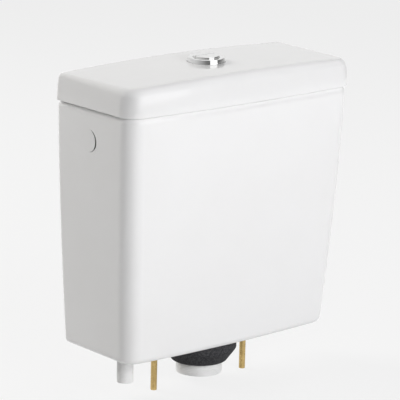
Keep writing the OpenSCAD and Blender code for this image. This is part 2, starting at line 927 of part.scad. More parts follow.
module shank_backnut() {
  color(white_plastic)
    at_fill_valve()
      translate([0, 0, -shank_nut_t])
        lugged_nut(
          shank_r + shank_nut_out, shank_core_r + thread_gap, shank_nut_t,
          shank_nut_lugs, shank_nut_lug_w, shank_nut_lug_out
        );
}

// Collar that clamps the sleeve to the riser at the height that is wanted
module height_lock_ring() {
  color(blue_plastic)
    at_fill_valve()
      translate([0, 0, lock_ring_z])
        difference() {
          cylinder(r = lock_ring_r, h = lock_ring_h, $fn = 12);
          translate([0, 0, -cut])
            cylinder(r = riser_r + thread_gap, h = lock_ring_h + 2 * cut);
        }
}

// Sleeve round the riser, down which the water leaves the valve head through slots
module outlet_sleeve() {
  color(white_plastic)
    at_fill_valve()
      translate([0, 0, sleeve_z])
        difference() {
          ring(sleeve_r, sleeve_r - sleeve_t, head_z - sleeve_z);
          for (i = [0:sleeve_slots - 1])
            rotate([0, 0, i * 360 / sleeve_slots])
              slab(
                [riser_r, -sleeve_slot_w / 2, sleeve_slot_w],
                [sleeve_r + cut, sleeve_slot_w / 2, sleeve_slot_w + sleeve_slot_h]
              );
        }
}

module valve_head() {
  color(white_plastic)
    at_fill_valve()
      rotate_extrude()
        polygon([
          [riser_r + thread_gap, head_z],
          [sleeve_r, head_z],
          [head_r, head_z + head_neck_h],
          [head_r, head_top_z],
          [riser_bore_r, head_top_z],
          [riser_bore_r, riser_top_z],
          [riser_r + thread_gap, riser_top_z]
        ]);
}

module diaphragm() {
  color(rubber)
    at_fill_valve()
      translate([0, 0, head_top_z])
        cylinder(r = head_r - diaphragm_in, h = diaphragm_t);
}

// Ribbed cap with the ears that carry the float lever and the pilot that it closes
module head_cap() {
  ear_y = float_lever_w / 2 + ear_gap + cap_ear_t / 2;
  color(grey_plastic)
    at_fill_valve()
      difference() {
        union() {
          rotate_extrude()
            polygon([
              [0, cap_z],
              [head_r, cap_z],
              [head_r, cap_top_z - cap_bevel],
              [head_r - cap_bevel, cap_top_z],
              [0, cap_top_z]
            ]);
          for (i = [0:cap_ribs - 1])
            rotate([0, 0, i * 360 / cap_ribs])
              translate([head_r, 0, cap_z])
                cylinder(r = cap_rib_r, h = cap_h - cap_bevel);
          translate([float_lever_pin_x - float_lever_tail, 0, cap_top_z - cut])
            cylinder(r = pilot_r, h = pilot_h + cut);
          for (y = [-ear_y, ear_y])
            upright(y, cap_ear_t) {
              translate([float_lever_pin_x, float_lever_z])
                circle(r = cap_ear_r);
              translate([float_lever_pin_x - cap_ear_r, cap_top_z - cut])
                square([2 * cap_ear_r, float_lever_z - cap_top_z + cut]);
            }
        }
        upright(0, 2 * ear_y + cap_ear_t + 2 * cut)
          translate([float_lever_pin_x, float_lever_z])
            circle(r = float_pin_r + pin_seat_gap);
      }
}

module float_lever_pin() {
  color(steel)
    at_fill_valve()
      upright(0, float_lever_w + 2 * (ear_gap + cap_ear_t + pin_head))
        translate([float_lever_pin_x, float_lever_z])
          circle(r = float_pin_r);
}

// Bolts with slotted heads inside the tank and free threads below their nuts
module coupling_bolts() {
  free_z = bolt_nut_z - cut;
  color(brass)
    at_bolts()
      difference() {
        rotate_extrude()
          polygon([
            [0, -bolt_len],
            [bolt_r, -bolt_len],
            [bolt_r, free_z],
            [bolt_core_r, free_z],
            [bolt_core_r, bolt_head_z],
            [bolt_head_r, bolt_head_z],
            [bolt_head_r, bolt_head_z + bolt_nut_t / 2],
            [bolt_crown_r, bolt_head_z + bolt_nut_t],
            [0, bolt_head_z + bolt_nut_t]
          ]);
        slab(
          [-bolt_head_r - cut, -bolt_slot_w / 2, bolt_head_z + bolt_nut_t - bolt_slot_d],
          [bolt_head_r + cut, bolt_slot_w / 2, bolt_head_z + bolt_nut_t + cut]
        );
      }
}

module bolt_seals() {
  color(rubber)
    at_bolts()
      translate([0, 0, bolt_seal_z])
        ring(bolt_seal_r, bolt_core_r + thread_gap, bolt_seal_t);
}

module bolt_plates() {
  color(steel)
    at_bolts()
      for (z = [bolt_plate_z, -bolt_plate_t])
        translate([0, 0, z])
          ring(bolt_plate_r, bolt_core_r + thread_gap, bolt_plate_t);
}

module bolt_nuts() {
  color(brass)
    at_bolts()
      translate([0, 0, bolt_nut_z])
        difference() {
          cylinder(r = bolt_nut_r, h = bolt_nut_t, $fn = 6);
          translate([0, 0, -cut])
            cylinder(r = bolt_core_r + thread_gap, h = bolt_nut_t + 2 * cut);
        }
}

// Blanking plug of the unused side inlet: a plain face and a hollow threaded barrel
module side_plug() {
  barrel_len_in = plug_barrel_end_x - plug_face_x;
  color(white_plastic)
    at_plug(plug_face_x, plug_shift)
      rotate_extrude()
        polygon([
          [0, 0],
          [plug_r - plug_bevel, 0],
          [plug_r, plug_bevel],
          [plug_r, plug_face_t],
          [plug_barrel_r, plug_face_t],
          [plug_barrel_r, barrel_len_in],
          [plug_barrel_r - plug_barrel_t, barrel_len_in],
          [plug_barrel_r - plug_barrel_t, plug_web_t],
          [0, plug_web_t]
        ]);
}

module plug_seal() {
  color(rubber)
    at_plug(plug_seal_x, plug_shift)
      ring(plug_r, plug_barrel_r + thread_gap, plug_seal_t);
}

module plug_nut() {
  color(white_plastic)
    at_plug(plug_inner_x, plug_shift)
      difference() {
        cylinder(r = plug_nut_r, h = plug_nut_t, $fn = 8);
        translate([0, 0, -cut])
          cylinder(r = plug_barrel_r + thread_gap, h = plug_nut_t + 2 * cut);
      }
}

// China lid: hollow and locating lip from the ceiling down, then the foot, side, edge and crown
module cistern_lid() {
  lip_z = lid_z - lip_depth;
  hollow = [
    for (i = [0:edge_steps])
      let (a = 90 * i / edge_steps)
      lid_ring(lid_ceiling_z - lid_hollow_r * (1 - cos(a)), lid_hollow_inset + lid_hollow_r * (1 - sin(a)))
  ];
  lip = [
    lid_ring(lip_z + lip_edge_r, lid_hollow_inset),
    lid_ring(lip_z, lid_hollow_inset - lip_edge_r),
    lid_ring(lip_z, lip_inset + lip_edge_r),
    lid_ring(lip_z + lip_edge_r, lip_inset),
    lid_ring(lid_z, lip_inset)
  ];
  foot = [
    for (i = [0:edge_steps])
      let (a = 90 * i / edge_steps)
      lid_ring(lid_z + lid_foot_r * (1 - cos(a)), lid_foot_r * (1 - sin(a)))
  ];
  edge = [for (i = [0:edge_steps]) lid_edge_ring(90 * i / edge_steps)];
  top_ring = edge[edge_steps];
  crown = [
    for (i = [1:crown_steps - 1])
      let (s = 1 - i / crown_steps, arched = i < crown_steps - 1)
      [
        for (p = top_ring)
          [
            p[0] * s,
            lid_middle_y + (p[1] - lid_middle_y) * s,
            arched ? lid_top_at(p[0] * s) : lid_top_z
          ]
      ]
  ];
  color(china)
    difference() {
      skin(concat(hollow, lip, foot, edge, crown));
      translate([0, 0, lid_ceiling_z - cut])
        cylinder(r = barrel_r + barrel_hole_gap, h = lid_crown + lid_t + 3 * cut);
      translate([0, 0, bezel_seat_z])
        cylinder(r = bezel_r + bezel_seat_gap, h = bezel_seat_sink + lid_crown);
    }
}

// Chrome ring with a leaning side, a rounded edge and a ledge, and the barrel through the lid
module button_bezel() {
  round_r = bezel_r - bezel_lean - bezel_edge_r;
  round_z = bezel_top_z - bezel_edge_r;
  color(chrome)
    rotate_extrude() {
      polygon([
        [barrel_bore_r, barrel_z],
        [barrel_core_r, barrel_z],
        [barrel_core_r, bezel_z],
        [bezel_r, bezel_z],
        [bezel_r - bezel_lean, round_z],
        [round_r, round_z],
        [round_r, bezel_top_z],
        [bezel_bore_r, bezel_top_z],
        [bezel_bore_r, barrel_step_z],
        [barrel_bore_r, barrel_step_z]
      ]);
      translate([round_r, round_z])
        circle(r = bezel_edge_r);
    }
}

module bezel_gasket() {
  color(foam)
    translate([0, 0, bezel_seat_z])
      ring(bezel_r - bezel_gasket_in, barrel_core_r + thread_gap, bezel_gasket_t);
}

module bezel_backnut() {
  color(white_plastic)
    translate([0, 0, lid_ceiling_z - bezel_nut_t])
      lugged_nut(
        bezel_nut_r, barrel_core_r + thread_gap, bezel_nut_t,
        bezel_nut_lugs, bezel_nut_lug_w, lug_r_out
      );
}

// Insert at the foot of the barrel that guides the rods and carries the springs
module button_cartridge() {
  rim_r = barrel_bore_r - thread_gap;
  color(white_plastic)
    difference() {
      rotate_extrude()
        polygon([
          [0, barrel_z - cartridge_flange_t],
          [barrel_core_r, barrel_z - cartridge_flange_t],
          [barrel_core_r, barrel_z],
          [rim_r, barrel_z],
          [rim_r, barrel_z + cartridge_rim_h],
          [rim_r - cartridge_rim_t, barrel_z + cartridge_rim_h],
          [rim_r - cartridge_rim_t, cartridge_floor_z],
          [0, cartridge_floor_z]
        ]);
      for (y = [-full_rod_out, half_rod_out])
        translate([0, y, barrel_z - cartridge_flange_t - cut])
          cylinder(r = push_rod_r + rest_gap, h = cartridge_t + 2 * cut);
    }
}

// Part of the raised disc on one side of the slit, with its foot and the socket of its rod
module button_part(side, rod_y) {
  edge_y = button_split_y + side * button_slit / 2;
  edge_cut = button_edge_r * (1 - cos(45));
  difference() {
    rotate_extrude()
      polygon([
        [0, button_foot_z],
        [button_foot_r, button_foot_z],
        [button_foot_r, button_foot_z + button_foot_t],
        [button_r, button_foot_z + button_foot_t],
        [button_r, button_top_z - button_edge_r],
        [button_r - edge_cut, button_top_z - edge_cut],
        [button_r - button_edge_r, button_top_z],
        [0, button_top_z]
      ]);
    translate([-2 * button_r, side > 0 ? edge_y - 4 * button_r : edge_y, button_foot_z - cut])
      cube([4 * button_r, 4 * button_r, button_top_z - button_foot_z + 2 * cut]);
    translate([0, rod_y, button_foot_z - cut])
      cylinder(r = push_rod_r + thread_gap, h = rod_socket + cut);
  }
}

// Rod from a button's socket to the foot that bears on a lever
module push_rod(rod_y) {
  foot_z = lever_z + pad_end_r + slide_gap;
  translate([0, rod_y, 0])
    rotate_extrude()
      polygon([
        [0, foot_z],
        [rod_foot_r, foot_z],
        [rod_foot_r, foot_z + rod_foot_t],
        [push_rod_r, foot_z + rod_foot_t],
        [push_rod_r, button_foot_z + rod_socket - thread_gap],
        [0, button_foot_z + rod_socket - thread_gap]
      ]);
}

// Points along the middle of a return spring's wire
function spring_middle(rod_y) = [
  for (i = [0:spring_turns * spring_rings])
    let (a = 360 * i / spring_rings)
    [
      spring_r * cos(a),
      rod_y + spring_r * sin(a),
      spring_low_z + (spring_high_z - spring_low_z) * i / (spring_turns * spring_rings)
    ]
];

// Least gap between one turn of the wire and the next
function spring_gap(points) = min([
  for (i = [0:len(points) - 1 - spring_rings])
    norm(points[i + spring_rings] - points[i]) - 2 * spring_wire_r
]);

// A wound spring, swept as one unbroken tube
module return_spring(rod_y) {
  middle = spring_middle(rod_y);
  rings = [
    for (i = [0:len(middle) - 1])
      let (a = 360 * i / spring_rings)
      [
        for (j = [0:spring_sides - 1])
          let (b = -360 * j / spring_sides)
          middle[i] + spring_wire_r * [cos(b) * cos(a), cos(b) * sin(a), sin(b)]
      ]
  ];
  echo(spring_gap = spring_gap(middle));
  skin(rings);
}

// A lever's outline: pad end under the rod, boss on the pin and lifting end
module lever(middle_y) {
  upright(middle_y, lever_w)
    translate([lever_pin_x, lever_z])
      difference() {
        union() {
          circle(r = lever_boss_r);
          translate([-lever_pad_arm, 0])
            circle(r = pad_end_r);
          translate([lever_lift_arm, 0])
            circle(r = lift_end_r);
          polygon([
            [-lever_pad_arm, -lever_arm_t / 2],
            [0, -lever_boss_r],
            [lever_lift_arm, -lever_arm_t / 2],
            [lever_lift_arm, lever_arm_t / 2],
            [-lever_pad_arm, lever_arm_t / 2]
          ]);
        }
        circle(r = lever_pin_r + pin_gap);
      }
}

module full_flush_button() {
  color(chrome)
    button_part(-1, -full_rod_out);
}

module half_flush_button() {
  color(chrome)
    button_part(1, half_rod_out);
}

module full_push_rod() {
  color(white_plastic)
    push_rod(-full_rod_out);
}

module half_push_rod() {
  color(white_plastic)
    push_rod(half_rod_out);
}

module full_spring() {
  color(steel)
    return_spring(-full_rod_out);
}

module half_spring() {
  color(steel)
    return_spring(half_rod_out);
}

module full_lever() {
  color(blue_plastic)
    lever(-full_rod_out);
}

module half_lever() {
  color(grey_plastic)
    on_half_side()
      lever(half_rod_out);
}

// Overflow and lifting tube, with the foot that the seal sits on
module overflow_tube() {
  color(grey_plastic)
    rotate_extrude()
      polygon([
        [tube_r - tube_t, tube_low_z],
        [tube_foot_r, tube_low_z],
        [tube_foot_r, seal_z],
        [tube_r, seal_z],
        [tube_r, overflow_h],
        [tube_r - tube_t, overflow_h]
      ]);
}

module flush_seal() {
  color(rubber)
    translate([0, 0, seal_z])
      ring(seal_r, tube_r + thread_gap, seal_t);
}

module seal_retainer() {
  color(white_plastic)
    translate([0, 0, retainer_z])
      difference() {
        cylinder(r1 = retainer_r, r2 = tube_r + retainer_hub_t, h = retainer_h);
        translate([0, 0, -cut])
          cylinder(r = tube_r + thread_gap, h = retainer_h + 2 * cut);
      }
}

// Strap that hangs a float below the ear that a lever lifts
module lift_strap(middle_y) {
  upright(middle_y / 2, strap_w)
    translate([strap_x, float_low_z])
      square([strap_t, ear_z + ear_t - float_low_z]);
  upright(middle_y, ear_w)
    translate([strap_x - ear_reach, ear_z])
      square([ear_reach + strap_t, ear_t]);
}

// Clamp on the overflow tube, with the arm and strap by which the full lever lifts it
module lift_yoke() {
  color(blue_plastic)
    union() {
      difference() {
        union() {
          translate([0, 0, yoke_z])
            cylinder(r = tube_r + yoke_t, h = yoke_h);
          slab([0, yoke_arm_y, yoke_z], [strap_x + cut, yoke_arm_y + yoke_arm_w, yoke_z + yoke_h]);
        }
        translate([0, 0, yoke_z - cut])
          cylinder(r = tube_r + thread_gap, h = yoke_h + 2 * cut);
      }
      lift_strap(-full_rod_out);
    }
}

// Float box, open below, with the groove that runs on the tower's rail
module flush_float() {
  low_x = float_x;
  high_x = strap_x - thread_gap;
  half_y = float_w / 2;
  groove_y = rail_w / 2 + slide_gap;
  pocket_half_y = (half_y - groove_y) / 2 - float_skin;
  difference() {
    translate([0, 0, float_low_z])
      linear_extrude(height = float_h)
        rounded_rect([low_x, -half_y], [high_x, half_y], float_corner_r);
    slab(
      [low_x - cut, -groove_y, float_low_z - cut],
      [rail_tip_x + slide_gap, groove_y, float_top_z + cut]
    );
    for (end = [-1, 1])
      translate([0, end * (half_y + groove_y) / 2, float_low_z - cut])
        linear_extrude(height = float_h - float_skin + cut)
          rounded_rect(
            [low_x + float_skin, -pocket_half_y],
            [high_x - float_skin, pocket_half_y],
            float_corner_r - float_skin
          );
  }
}

module full_float() {
  color(white_plastic)
    flush_float();
}

module half_float() {
  color(white_plastic)
    on_half_side()
      flush_float();
}

module half_lift_strap() {
  color(grey_plastic)
    on_half_side()
      lift_strap(half_rod_out);
}

// Float cup of the fill valve, open below, with the boss of its rod
module float_cup() {
  bore_r = sleeve_r + slide_gap;
  color(grey_plastic)
    at_fill_valve()
      difference() {
        union() {
          rotate_extrude()
            polygon([
              [bore_r, float_cup_low_z],
              [bore_r + float_cup_skin, float_cup_low_z],
              [bore_r + float_cup_skin, float_cup_top_z - float_cup_skin],
              [float_cup_r - float_cup_skin, float_cup_top_z - float_cup_skin - float_cup_round],
              [float_cup_r - float_cup_skin, float_cup_low_z],
              [float_cup_r, float_cup_low_z],
              [float_cup_r, float_cup_top_z - float_cup_round],
              [float_cup_r - float_cup_round, float_cup_top_z],
              [bore_r, float_cup_top_z]
            ]);
          translate([float_rod_x, 0, float_cup_top_z - float_boss_h])
            cylinder(r = float_boss_r, h = float_boss_h);
        }
        translate([float_rod_x, 0, float_cup_top_z - float_boss_h + float_cup_skin])
          cylinder(r = float_rod_r + thread_gap, h = float_boss_h);
      }
}

// Rod from the float cup to the fork of the float lever, with a collar on each side of the fork
module float_rod() {
  low_z = float_cup_top_z - float_boss_h + float_cup_skin;
  fork_low_z = float_lever_z - collar_gap;
  fork_high_z = float_lever_z + collar_gap;
  color(white_plastic)
    at_fill_valve()
      translate([float_rod_x, 0, 0])
        rotate_extrude()
          polygon([
            [0, low_z],
            [float_rod_r, low_z],
            [float_rod_r, fork_low_z - collar_t],
            [float_collar_r, fork_low_z - collar_t],
            [float_collar_r, fork_low_z],
            [float_rod_r, fork_low_z],
            [float_rod_r, fork_high_z],
            [float_collar_r, fork_high_z],
            [float_collar_r, fork_high_z + collar_t],
            [0, fork_high_z + collar_t]
          ]);
}

// Float lever: pilot end, boss on its pin and the fork round the float rod
module float_lever() {
  color(blue_plastic)
    at_fill_valve()
      difference() {
        union() {
          upright(0, float_lever_w)
            translate([float_lever_pin_x, float_lever_z]) {
              circle(r = float_lever_t);
              translate([-float_lever_tail, 0])
                circle(r = float_lever_t / 2 + pilot_pad_out);
              translate([-float_lever_tail, -float_lever_t / 2])
                square([float_lever_tail + float_arm, float_lever_t]);
            }
          upright(0, fork_w)
            translate([float_rod_x - fork_len / 2 - fork_root, float_lever_z - float_lever_t / 2])
              square([fork_len + fork_root, float_lever_t]);
        }
        upright(0, float_lever_w + 2 * cut)
          translate([float_lever_pin_x, float_lever_z])
            circle(r = float_pin_r + pin_gap);
        slab(
          [float_rod_x - fork_slot / 2, -fork_slot / 2, float_lever_z - float_lever_t],
          [float_rod_x + fork_len, fork_slot / 2, float_lever_z + float_lever_t]
        );
      }
}

tank();
seat_washer();
valve_seat();
tail_backnut();
coupling_gasket();
valve_tower();
lever_pins();
fill_riser();
shank_washer();
shank_backnut();
height_lock_ring();
outlet_sleeve();
valve_head();
diaphragm();
head_cap();
float_lever_pin();
coupling_bolts();
bolt_seals();
bolt_plates();
bolt_nuts();
side_plug();
plug_seal();
plug_nut();
cistern_lid();
button_bezel();
bezel_gasket();
bezel_backnut();
button_cartridge();
full_flush_button();
full_push_rod();
full_spring();
half_flush_button();
half_push_rod();
half_spring();
full_lever();
half_lever();
overflow_tube();
flush_seal();
seal_retainer();
lift_yoke();
full_float();
half_float();
half_lift_strap();
float_cup();
float_rod();
float_lever();
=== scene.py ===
# %% [markdown]
# # A close-coupled toilet cistern
#
# The cistern is a white china tank that holds the water for a flush. A loose china lid covers it, and a
# round chrome button in the lid works the flush valve inside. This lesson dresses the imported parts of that
# cistern: it rebuilds the glazed and chromed pieces as smooth meshes, rounds the moulded ones, cuts threads,
# winds springs and gives every surface a finish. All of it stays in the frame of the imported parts, in
# metres, so nothing has to be fitted afterwards.

# %% Load the frame
import json
import math

import bmesh
import bpy
from mathutils import Matrix, Quaternion, Vector

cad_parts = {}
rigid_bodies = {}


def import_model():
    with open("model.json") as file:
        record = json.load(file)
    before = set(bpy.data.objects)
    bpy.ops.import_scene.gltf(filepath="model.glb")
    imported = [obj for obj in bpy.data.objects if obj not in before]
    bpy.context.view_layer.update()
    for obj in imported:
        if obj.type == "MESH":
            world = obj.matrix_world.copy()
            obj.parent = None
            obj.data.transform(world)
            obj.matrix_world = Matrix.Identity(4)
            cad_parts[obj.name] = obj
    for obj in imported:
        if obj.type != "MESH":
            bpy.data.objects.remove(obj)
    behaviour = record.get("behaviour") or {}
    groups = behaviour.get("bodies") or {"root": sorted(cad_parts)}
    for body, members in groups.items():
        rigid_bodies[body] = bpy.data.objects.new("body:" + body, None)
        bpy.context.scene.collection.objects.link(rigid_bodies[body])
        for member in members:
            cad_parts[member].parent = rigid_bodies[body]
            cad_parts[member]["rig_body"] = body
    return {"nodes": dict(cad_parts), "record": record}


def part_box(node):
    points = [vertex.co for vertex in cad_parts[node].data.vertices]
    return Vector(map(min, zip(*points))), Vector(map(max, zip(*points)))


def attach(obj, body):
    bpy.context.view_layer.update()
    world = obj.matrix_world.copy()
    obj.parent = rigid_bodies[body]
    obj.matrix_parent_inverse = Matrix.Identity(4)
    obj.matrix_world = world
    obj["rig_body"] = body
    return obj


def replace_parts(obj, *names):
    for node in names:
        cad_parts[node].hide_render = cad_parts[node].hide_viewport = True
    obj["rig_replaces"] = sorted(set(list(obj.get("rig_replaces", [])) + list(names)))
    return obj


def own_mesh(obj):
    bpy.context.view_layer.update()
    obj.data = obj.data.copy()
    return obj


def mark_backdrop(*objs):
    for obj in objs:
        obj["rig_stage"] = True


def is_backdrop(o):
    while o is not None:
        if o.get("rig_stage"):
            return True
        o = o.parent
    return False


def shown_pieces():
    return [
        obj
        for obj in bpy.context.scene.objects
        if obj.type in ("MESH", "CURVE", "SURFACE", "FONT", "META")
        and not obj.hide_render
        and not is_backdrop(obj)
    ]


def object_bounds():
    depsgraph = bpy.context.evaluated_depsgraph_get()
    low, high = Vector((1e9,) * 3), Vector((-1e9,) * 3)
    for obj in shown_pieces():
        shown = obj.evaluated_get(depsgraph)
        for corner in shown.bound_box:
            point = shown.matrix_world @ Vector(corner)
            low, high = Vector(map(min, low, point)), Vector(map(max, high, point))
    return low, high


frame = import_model()
cad_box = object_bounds()
MM = 0.001
slot_of = {part["node"]: part["material_slot"] for part in frame["record"]["subparts"]}

# %% [markdown]
# ## Camera
#
# The picture was taken from the front left, a little above the lid, with a long lens that keeps upright
# edges almost parallel. A lens is easier to copy from the picture's focal length in pixels than from
# millimetres, so the camera is set from that. The small slide of the film back keeps the framing without
# turning the camera, which would bend the upright edges.

# %% Camera
IMAGE_SIDE = 400
FOCAL_LENGTH = 2573.5
FRAMING_SLIDE = (2.08, -12.07)
FILM_WIDTH = 36.0
VIEW_TURN = math.radians(-40.78)
VIEW_RISE = math.radians(14.18)
VIEW_ROLL = math.radians(1.4)
VIEW_DISTANCE = 3.276
VIEW_TARGET = Vector((0, 10 * MM, 190 * MM))
VIEW_REACH = 100


def direction(turn, rise):
    """From the object outwards: no turn looks from the front, and a positive one from its right."""
    return Vector((math.sin(turn) * math.cos(rise), -math.cos(turn) * math.cos(rise), math.sin(rise)))


def linked(name, data):
    """An object at the origin that shows some data, linked to the scene."""
    made = bpy.data.objects.new(name, data)
    bpy.context.scene.collection.objects.link(made)
    return made


outwards = direction(VIEW_TURN, VIEW_RISE)
lens = bpy.data.cameras.new("camera")
lens.lens = FILM_WIDTH * FOCAL_LENGTH / IMAGE_SIDE
lens.sensor_width = FILM_WIDTH
lens.shift_x = FRAMING_SLIDE[0] / IMAGE_SIDE
lens.shift_y = FRAMING_SLIDE[1] / IMAGE_SIDE
lens.clip_end = VIEW_REACH
camera = linked("camera", lens)
camera.rotation_mode = "QUATERNION"
camera.location = VIEW_TARGET + outwards * VIEW_DISTANCE
camera.rotation_quaternion = (-outwards).to_track_quat("-Z", "Y") @ Quaternion((0, 0, 1), VIEW_ROLL)
bpy.context.scene.camera = camera
bpy.context.scene.view_settings.view_transform = "Standard"
print(f"camera: {lens.lens:.1f} mm lens, {VIEW_DISTANCE} m away")

# %% [markdown]
# ## Floor
#
# The cistern stands on a pale floor that runs out into a pale background. A lit floor alone would turn grey
# where less light reaches it, so what the camera sees is mostly the background's own colour, and only that
# far away. A soft shadow stays, and no horizon shows. Shaders are built from nodes here, and one helper adds
# a node with its settings made and its inputs linked or set.

# %% Floor
FLOOR_REACH = 9.0
FLOOR_GAP = 0.5 * MM
FLOOR_COLOUR = (0.62, 0.62, 0.62)
FLOOR_LIFT = 0.84
FLOOR_FADE = (2.6, 5.0)
BACKGROUND = (0.98, 0.98, 0.98)


def mesh_object(name, vertices, faces):
    mesh = bpy.data.meshes.new(name)
    mesh.from_pydata([tuple(v) for v in vertices], [], faces)
    mesh.update()
    return linked(name, mesh)


def empty_tree(owner):
    """The node tree of a material or a world, with nothing in it."""
    owner.use_nodes = True
    owner.node_tree.nodes.clear()
    return owner.node_tree


def add_node(tree, kind, inputs=(), **settings):
    """A node with its settings made, and with each input linked to a socket or set to a value."""
    node = tree.nodes.new(kind)
    for name, value in settings.items():
        setattr(node, name, value)
    for name, value in dict(inputs).items():
        if isinstance(value, bpy.types.NodeSocket):
            tree.links.new(value, node.inputs[name])
        else:
            node.inputs[name].default_value = value
    return node


def seen_directly(tree):
    """1 for rays that show the background to the camera, to gloss and through glass, otherwise 0."""
    path = add_node(tree, "ShaderNodeLightPath").outputs
    either = path["Is Camera Ray"]
    for ray in ("Is Glossy Ray", "Is Transmission Ray"):
        either = add_node(tree, "ShaderNodeMath", {0: either, 1: path[ray]}, operation="MAXIMUM").outputs[0]
    return either


def floor_material():
    made = bpy.data.materials.new("pale_floor")
    tree = empty_tree(made)
    matt = add_node(tree, "ShaderNodeBsdfDiffuse", {"Color": (*FLOOR_COLOUR, 1)})
    glow = add_node(tree, "ShaderNodeEmission", {"Color": (*BACKGROUND, 1)})
    place = add_node(tree, "ShaderNodeTexCoord").outputs["Object"]
    reach = add_node(tree, "ShaderNodeVectorMath", {0: place}, operation="LENGTH").outputs["Value"]
    fade = {"Value": reach, "From Min": FLOOR_FADE[0], "From Max": FLOOR_FADE[1], "To Min": FLOOR_LIFT}
    lift = add_node(tree, "ShaderNodeMapRange", fade, interpolation_type="SMOOTHSTEP").outputs["Result"]
    share = add_node(tree, "ShaderNodeMath", {0: seen_directly(tree), 1: lift}, operation="MULTIPLY")
    mix = add_node(tree, "ShaderNodeMixShader", {
        "Fac": share.outputs[0], 1: matt.outputs[0], 2: glow.outputs[0]})
    add_node(tree, "ShaderNodeOutputMaterial", {"Surface": mix.outputs[0]})
    return made


floor_z = cad_box[0].z - FLOOR_GAP
corners = [(-1, -1), (1, -1), (1, 1), (-1, 1)]
floor_points = [(x * FLOOR_REACH, y * FLOOR_REACH, floor_z) for x, y in corners]
floor = mesh_object("floor", floor_points, [(0, 1, 2, 3)])
floor.data.materials.append(floor_material())
print(f"floor at {floor_z / MM:.1f} mm")

# %% [markdown]
# ## A room for the chrome
#
# Chrome needs something dark to reflect, or it looks like grey paint. A round wall of graded greys stands
# about the cistern for that, dark in front and pale behind, and only reflections see it. Its greys are known
# in a few directions, and each point of the wall carries the blend of the two that are nearest.

# %% Room
ROOM_RADIUS = 2.7
ROOM_HEIGHT = 2.2
ROOM_STEPS = 72
ROOM_GREYS = {-180: 0.85, -100: 0.62, -68: 0.4, -38: 0.2, -7: 0.17, 42: 0.16, 95: 0.35, 122: 0.9, 180: 0.85}


def room_grey(turn):
    """The brightness of the room's wall in a direction, between the directions where it is known."""
    known = sorted(ROOM_GREYS)
    for low, high in zip(known, known[1:]):
        if turn <= high:
            share = (turn - low) / (high - low)
            return ROOM_GREYS[low] * (1 - share) + ROOM_GREYS[high] * share


def room_material():
    made = bpy.data.materials.new("room_greys")
    tree = empty_tree(made)
    grey = add_node(tree, "ShaderNodeAttribute", attribute_name="grey")
    glow = add_node(tree, "ShaderNodeEmission", {"Strength": grey.outputs["Fac"]})
    add_node(tree, "ShaderNodeOutputMaterial", {"Surface": glow.outputs[0]})
    return made


def room_wall():
    """A round wall of graded greys that only reflections see."""
    turns = [360 * i / ROOM_STEPS - 180 for i in range(ROOM_STEPS + 1)]
    foot = [direction(math.radians(turn), 0) * ROOM_RADIUS + Vector((0, 0, floor_z)) for turn in turns]
    head = [point + Vector((0, 0, ROOM_HEIGHT)) for point in foot]
    strips = [(i, i + 1, i + ROOM_STEPS + 2, i + ROOM_STEPS + 1) for i in range(ROOM_STEPS)]
    wall = mesh_object("room_wall", foot + head, strips)
    greys = [room_grey(turn) for turn in turns] * 2
    wall.data.attributes.new("grey", "FLOAT", "POINT").data.foreach_set("value", greys)
    wall.data.materials.append(room_material())
    for ray in ("camera", "diffuse", "transmission", "shadow"):
        setattr(wall, "visible_" + ray, False)
    return wall


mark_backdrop(floor, room_wall())
print(f"room: {ROOM_STEPS} strips of grey, {2 * ROOM_RADIUS} m across")

# %% [markdown]
# ## Light
#
# White china shows its form only by how its faces differ, so the light is uneven on purpose: a wide window
# in front on the right, two fills beside it that gloss doesn't mirror, a soft ceiling, a lamp high on the
# right, a bounce from behind on the left and a pale world for the rest. The window is three lamps of growing
# size, which gives it soft edges in the chrome. The background is pale because the floor and the world are
# pale to the camera, and not because more light falls on the object.

# %% Light
WORLD_COLOUR = (1.0, 0.985, 0.955)
WORLD_LEVEL = 0.03
DAYLIGHT = (0.99, 0.99, 1.0)
ROOM_LIGHT = (1.0, 0.985, 0.96)
WINDOW_X = 0.38
WINDOW_Y = -2.2
WINDOW_Z = 0.95
WINDOW_WIDTHS = (1.6, 1.8, 2.0)
WINDOW_SQUAT = 0.7
WINDOW_LEVEL = 1.3
TANK_MIDDLE = (0, 0, 0.2)


def pale_world():
    world = bpy.data.worlds.new("pale_room")
    bpy.context.scene.world = world
    tree = empty_tree(world)
    light = add_node(tree, "ShaderNodeBackground", {"Color": (*WORLD_COLOUR, 1), "Strength": WORLD_LEVEL})
    shown = add_node(tree, "ShaderNodeBackground", {"Color": (*BACKGROUND, 1)})
    mix = add_node(tree, "ShaderNodeMixShader", {
        "Fac": seen_directly(tree), 1: light.outputs[0], 2: shown.outputs[0]})
    add_node(tree, "ShaderNodeOutputWorld", {"Surface": mix.outputs[0]})


def soft_lamp(name, place, target, size, level, colour=DAYLIGHT, mirrored=True):
    """A rectangular lamp; its level is its radiance, where 1 looks white. Gloss mirrors it or doesn't."""
    lamp = bpy.data.lights.new(name, "AREA")
    lamp.shape = "RECTANGLE"
    lamp.size, lamp.size_y = size
    lamp.energy = level * math.pi * size[0] * size[1]
    lamp.color = colour
    made = linked(name, lamp)
    made.location = place
    made.rotation_mode = "QUATERNION"
    made.rotation_quaternion = (Vector(target) - Vector(place)).to_track_quat("-Z", "Y")
    made.visible_glossy = mirrored


